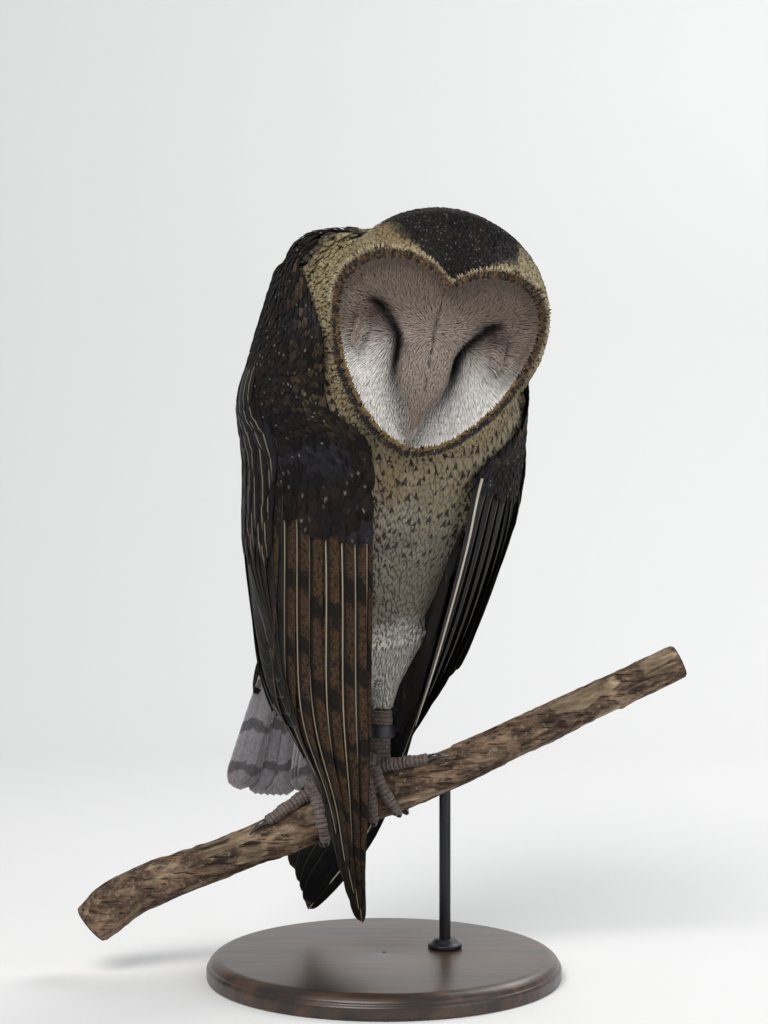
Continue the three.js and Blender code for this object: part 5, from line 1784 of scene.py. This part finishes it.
def shank_radius(share, turn):
    """A shank has a knob near its top, flares at the foot and carries fine ridges."""
    knob = 0.7 * bell(share - 0.78, 0.09) * (1 + 0.5 * np.sin(3 * turn + 1))
    knob = knob + 0.9 * smoothstep(share, 0.3, 0.0)
    return 5.3 + knob + 0.30 * np.abs(np.sin(np.pi * 9 * share + 0.6 * np.cos(turn)))


def ball_radius(share, turn):
    """The ball of the foot is round, and slightly lumpy."""
    lumps = 0.15 * np.sin(11 * turn) * np.sin(9 * share)
    return 7.3 * np.sqrt(np.clip(1 - (2 * share - 1) ** 2, 0.02, 1)) + lumps


def claw_radius(share, turn):
    """A claw runs to a point and is a little flattened below."""
    return (2.05 * (1 - share**1.5) + 0.22) * (1 - 0.12 * smoothstep(-np.cos(turn), 0.5, 1))


made = Finish("scaly_toes", 0.62, Specular_IOR_Level=0.4, Subsurface_Weight=0.06)
fine_cells = {"Scale": 1150.0, "Randomness": 0.8, "Vector": made.place}
cells = add_node(made.tree, "TexVoronoi", fine_cells, "Distance")
scale_edge = cells.rise(0.25, 0.62)
walked = made.place.noise(400.0).times_plus(0.9, made.kept("walk"))
scute = abs((walked * 1.45).maths("SINE"))
colour = made.place.noise(260.0, 4.0, 0.65).between("#8d8079", "#665a54").under(
    (scale_edge * 0.55, "#3f3632"), (scute.rise(0.42, 0.05) * 0.6, "#37302d"))
foot_finish = made.done(colour, scute * 1.4 - scale_edge * 0.4, 0.45, 1.0)
claw_finish = two_tone("claw_horn", 0.28, ("#15110f", "#3d3530"), (600.0, 600.0, 250.0), 3.0, 0.04, 0.4,
                       Coat_Weight=0.3, Coat_Roughness=0.2)

for side, label in ((-1, "right"), (1, "left")):
    seat = on_body(np.array([1.0, side * LEG_SIDE, 0.0]) * MM) / MM
    t = np.linspace(-0.06, 1.05, 64)
    toes = [toe_path(seat[0], side, toe, t, (3.7 - t) * 0.94) for toe in TOES]
    shank_up = np.linspace(6, 35, 48)
    shank = np.stack([1 + 0.1 * (shank_up - 13), 0 * shank_up + side * LEG_SIDE, shank_up], -1)
    shank = on_body(shank * MM) / MM
    shank[:, 2] = shank_up + PERCH[2] / MM
    ball = over_branch(seat[0], 4.0, 0.0, 5.0)[0]
    ball_line = ball + np.linspace(-6.2, 7.5, 24)[:, None] * unit(shank[0] - ball)
    tubes = [tube(*toe, toe_radius) for toe in toes]
    tubes.append(tube(shank, np.broadcast_to(AHEAD, shank.shape), shank_radius))
    tubes.append(tube(ball_line, np.broadcast_to([0, -1.0, 0.1], ball_line.shape), ball_radius))
    at, quads = fused([(p * MM, q, tris) for p, q, tris in tubes], 0.55 * MM, factor=0.5, iterations=2)
    foot = add_mesh("foot_skin_" + label, at, quads)
    paths = [line for line, _ in toes] + [shank]
    walk = np.concatenate([run_length(path) for path in paths])
    apart = np.linalg.norm((at / MM)[:, None] - np.concatenate(paths)[None], axis=2)
    give(foot, "walk", walk[np.argmin(apart, axis=1)])
    dress(foot, foot_finish, "toe_skin", "foot_" + label, "shank_" + label)
    for toe, ((turn0, turn1), _) in TOES.items():
        t = np.linspace(0, 1, 30)
        on = 0.99 + 15 / (abs(turn1 - turn0) * 0.27 + 12) * 0.59 * t
        lift = 1.9 + 2.3 * np.sin(np.pi * t) * (1 - 0.3 * t) - 0.4 * t
        points, quads, tris = tube(*toe_path(seat[0], side, toe, on, lift), claw_radius)
        claw = add_mesh(f"talon_{label}_{toe}", points * MM, quads, tris)
        dress(claw, claw_finish, "claw_horn", f"claw_{label}_{toe}")
    print("foot", label, len(at), "points")


# %% Leg band
def turned(name, profile, at, columns=96):
    """A closed lathe form: a closed profile of (radius, height) in mm carried round an upright
    axis at a point."""
    turn = np.linspace(0, 2 * np.pi, columns, endpoint=False)[:, None]
    radius, height = profile.T
    ring = np.stack(np.broadcast_arrays(radius * np.cos(turn), radius * np.sin(turn), height), -1) * MM + at
    n = len(profile)
    i, j = np.meshgrid(np.arange(columns), np.arange(n), indexing="ij")
    beside, up = (i + 1) % columns * n, (j + 1) % n
    faces = np.stack([i * n + j, beside + j, beside + up, i * n + up], -1)
    return add_mesh(name, ring.reshape(-1, 3), faces.reshape(-1, 4))


def rounded(corners, radius):
    """A closed profile whose corners are replaced by small curves of second degree."""
    corners = np.asarray(corners, float)
    cuts = []
    for way in (1, -1):
        side = np.roll(corners, way, 0) - corners
        most = np.linalg.norm(side, axis=1, keepdims=True) / 2.1
        cuts.append(corners + unit(side) * np.minimum(radius, most))
    a, b = cuts
    t = np.linspace(0, 1, 5)[None, :, None]
    bends = (1 - t) ** 2 * a[:, None] + 2 * t * (1 - t) * corners[:, None] + t * t * b[:, None]
    return bends.reshape(-1, 2)


made = Finish("dull_band", 0.42, Metallic=0.75)
worn = made.place.noise(500.0, 5.0, 0.7)
fine = made.place.scaled(1.0, 1.0, 8.0).noise(700.0, 3.0, 0.6)
join(made.tree, worn.rise(0.3, 0.7, 0.34, 0.60), made.shader["Roughness"])
band_finish = made.done(worn.between("#2c2c2f", "#56565a"), fine, 0.03, 0.5)
band_at = on_body(np.array([1.7, LEG_SIDE, 0.0]) * MM)
band_profile = rounded([[6.2, 20], [7.5, 20], [7.5, 26.5], [6.2, 26.5]], 0.45)
band = turned("leg_ring", band_profile, [band_at[0], band_at[1], PERCH[2]])
dress(band, band_finish, "band", "leg_band")
print("leg ring", len(band_profile), "points round its section")

# %% [markdown]
# ## Perch and stand
# The perch is a cut branch with its bark on: long ridges that split into plates, a few knots,
# and pale patches where the bark has flaked off. The relief is real geometry where it changes
# the outline, and bump below that. It stands on a steel rod in a stained wooden foot, both kept
# plain so that the owl is what is looked at.

# %% Branch
BARK_ROWS, BARK_COLUMNS = 520, 128
BARK_RADIUS = 11.0
# Knots: share along the branch, turn round it in radians, width and height in mm.
KNOTS = [(0.075, 0.6, 6.0, 2.0), (0.12, 3.4, 5.0, 1.5), (0.33, 2.2, 4.0, 1.2), (0.56, 5.3, 4.5, 1.0),
         (0.76, 1.0, 4.0, 1.1), (0.90, 4.0, 5.0, 1.2)]
END_RINGS = np.array([0.86, 0.68, 0.48, 0.26, 0.08])
line = along_rows(BRANCH, np.linspace(0, 1, BARK_ROWS))
way = unit(np.gradient(line[:, :3], axis=0))
aside = unit(np.array([0.0, 1.0, 0.0]) - way * way[:, 1:2])
above = np.cross(aside, way)
turn = np.linspace(0, 2 * np.pi, BARK_COLUMNS, endpoint=False)
run = run_length(line[:, :3])[:, None]
round_it = np.cos(turn) * BARK_RADIUS, np.sin(turn) * BARK_RADIUS
bark_place = np.stack(np.broadcast_arrays(*round_it, run), -1)
twist = grain(bark_place * [0.3, 0.3, 0.05], 3.0, 50) * 1.5
stretched = bark_place * [1, 1, 0.22] + twist[..., None] * [1, 1, 0]
ridges = 1 - np.abs(grain(stretched, 3.4, 51))
plates = grain(stretched * [1, 1, 1.6], 1.7, 52)
swell = grain(bark_place * [0.5, 0.5, 1], 17.0, 53)
relief = 0.95 * (ridges - 0.62) + 0.34 * plates + 0.8 * swell
flaked = smoothstep(grain(bark_place * [1, 1, 0.5], 9.0, 54) + 0.5 * grain(stretched, 3.0, 55), 0.22, 0.42)
relief = relief * (1 - 0.65 * flaked) - 0.45 * flaked
knots = np.zeros_like(relief)
for at, turned_by, wide, high in KNOTS:
    around = np.angle(np.exp(1j * (turn[None, :] - turned_by))) * BARK_RADIUS
    away = np.hypot(run - at * run[-1], around) / wide
    relief += high * np.exp(-away**2) - 0.8 * high * bell(away, 0.38)
    knots = np.maximum(knots, bell(away, 0.5))
from_end = np.minimum(run, run[-1] - run)
relief = relief * smoothstep(from_end, 0, 6) - 0.8 * (1 - smoothstep(from_end, 0, 1.2))
radius = line[:, 3:4] - 0.2 + relief
rings = (line[:, None, :3] + aside[:, None] * (radius * np.cos(turn))[..., None]
         + above[:, None] * (radius * np.sin(turn))[..., None])


def end_face(ring, middle, push):
    """Rings that close a cut end towards its middle, slightly hollowed by wood fibres."""
    return [middle + (ring - middle) * k + push * (0.5 * (1 - k)) for k in END_RINGS]


low_end = end_face(rings[0], line[0, :3], way[0] * 0.8)
high_end = end_face(rings[-1], line[-1, :3], -way[-1] * 0.8)
points, quads, tris = closed_tube(np.stack(low_end[::-1] + list(rings) + high_end))
branch = add_mesh("branch_bark", points * MM, quads, tris)
ends = (len(END_RINGS), len(END_RINGS))
# The bark is darkened where its relief is low: the crevices' own dark, and painted shade in the hollows.
for name, values in (("flaked", flaked), ("crevice_shade", smoothstep(relief, 0.1, -0.7)), ("knot", knots)):
    give(branch, name, np.concatenate([np.pad(values, (ends, (0, 0))).ravel(), [0, 0]]))
ring_share = np.concatenate([END_RINGS[::-1], np.ones(BARK_ROWS), END_RINGS])
give(branch, "endwood", np.concatenate([np.repeat(ring_share < 1, BARK_COLUMNS), [1, 1]]))
give(branch, "ring_share", np.concatenate([np.repeat(ring_share, BARK_COLUMNS), [0, 0]]))

made = Finish("bark_and_wood", 0.85, Specular_IOR_Level=0.25)
place = made.place
fibre = place.scaled(90.0, 500.0, 420.0).noise(1.0, 5.0, 0.65)
blotch = place.scaled(60.0, 160.0, 140.0).noise(1.0, 5.0, 0.65).rise(0.30, 0.70)
dust = place.noise(340.0, 4.0, 0.7).rise(0.54, 0.68)
splits = place.scaled(45.0, 620.0, 560.0).noise().rise(0.60, 0.66)
growth = made.kept("ring_share").times_plus(9.0, blotch * 1.2)
growth = (growth * FULL_TURN).maths("SINE").times_plus(0.5, 0.5)
cut = growth.between("#a98660", "#c9ab84").under((fibre * 0.4, "#7d5f42"))
# Low relief darkens the bark as the crevices' own dark and as painted shade in the hollows.
shade = blotch.between("#3d2e24", "#8f7660").under(
    (fibre.rise(0.42, 0.66) * 0.75, "#2a1e17"), (dust * 0.45, "#a2937f"), (splits * 0.8, "#130d0a"),
    (made.kept("flaked") * 0.85, fibre.rise(0.36, 0.66).between("#9c8569", "#c9b596")),
    (made.kept("crevice_shade") * 0.75, "#1c1410"), (made.kept("knot") * 0.6, "#2c1f17"), (made.kept("endwood"), cut))
dress(branch, made.done(shade, fibre - splits * 0.6, 0.8, 1.0), "bark", "perch_branch")
print("branch", len(points), "points, relief", relief.min().round(1), "to", relief.max().round(1), "mm")

# %% Stand
ROD_X, ROD_Y = 32, 10.4
made = Finish("stained_wood", 0.38, Coat_Weight=0.25, Coat_Roughness=0.25)
grain_lines = made.place.scaled(14.0, 160.0, 60.0).noise(1.0, 6.0, 0.65)
pores = made.place.scaled(60.0, 1500.0, 900.0).noise(1.0, 3.0, 0.6).rise(0.55, 0.75)
colour = grain_lines.rise(0.35, 0.68).between("#231812", "#4b3425").under((pores * 0.5, "#130d0a"))
wood_finish = made.done(colour, pores, 0.08, -0.5)
made = Finish("blackened_steel", 0.38, Metallic=0.9)
drawn = made.place.scaled(900.0, 900.0, 30.0).noise(1.0, 4.0, 0.6)
join(made.tree, drawn.rise(0.3, 0.7, 0.30, 0.48), made.shader["Roughness"])
steel_finish = made.done(drawn.between("#1d1d1f", "#45454a"), drawn, 0.02, 0.4)

rod_at = np.array([ROD_X, ROD_Y, 0]) * MM
rod_top = over_branch(float(ROD_X), 180.0, 0.0, -7.0)[0][2]
base_profile = [[0.6, 0.0], [91.2, 0.0], [92, 0.9], [92, 6.4], [90.6, 7.6], [90.6, 8.6], [88.4, 10.8],
                [85.5, 12], [0.6, 12]]
collar_profile = [[3.05, 12.35], [9, 12.35], [9, 14.2], [7.2, 15.2], [5.2, 17.2], [3.05, 17.35]]
rod_profile = [[0.3, 12.36], [3, 12.36], [3, rod_top], [0.3, rod_top]]
for name, profile, radius, at, finish, slot, node in (
    ("stand_foot", base_profile, 1.3, np.zeros(3), wood_finish, "stand_board", "stand_base"),
    ("stand_ring", collar_profile, 0.5, rod_at, steel_finish, "stand_steel", "stand_collar"),
    ("stand_post", rod_profile, 0.3, rod_at, steel_finish, "stand_steel", "stand_rod"),
):
    dress(turned(name, rounded(profile, radius), at, 160), finish, slot, node)
print("stand in three pieces, rod up to", round(float(rod_top), 1), "mm")
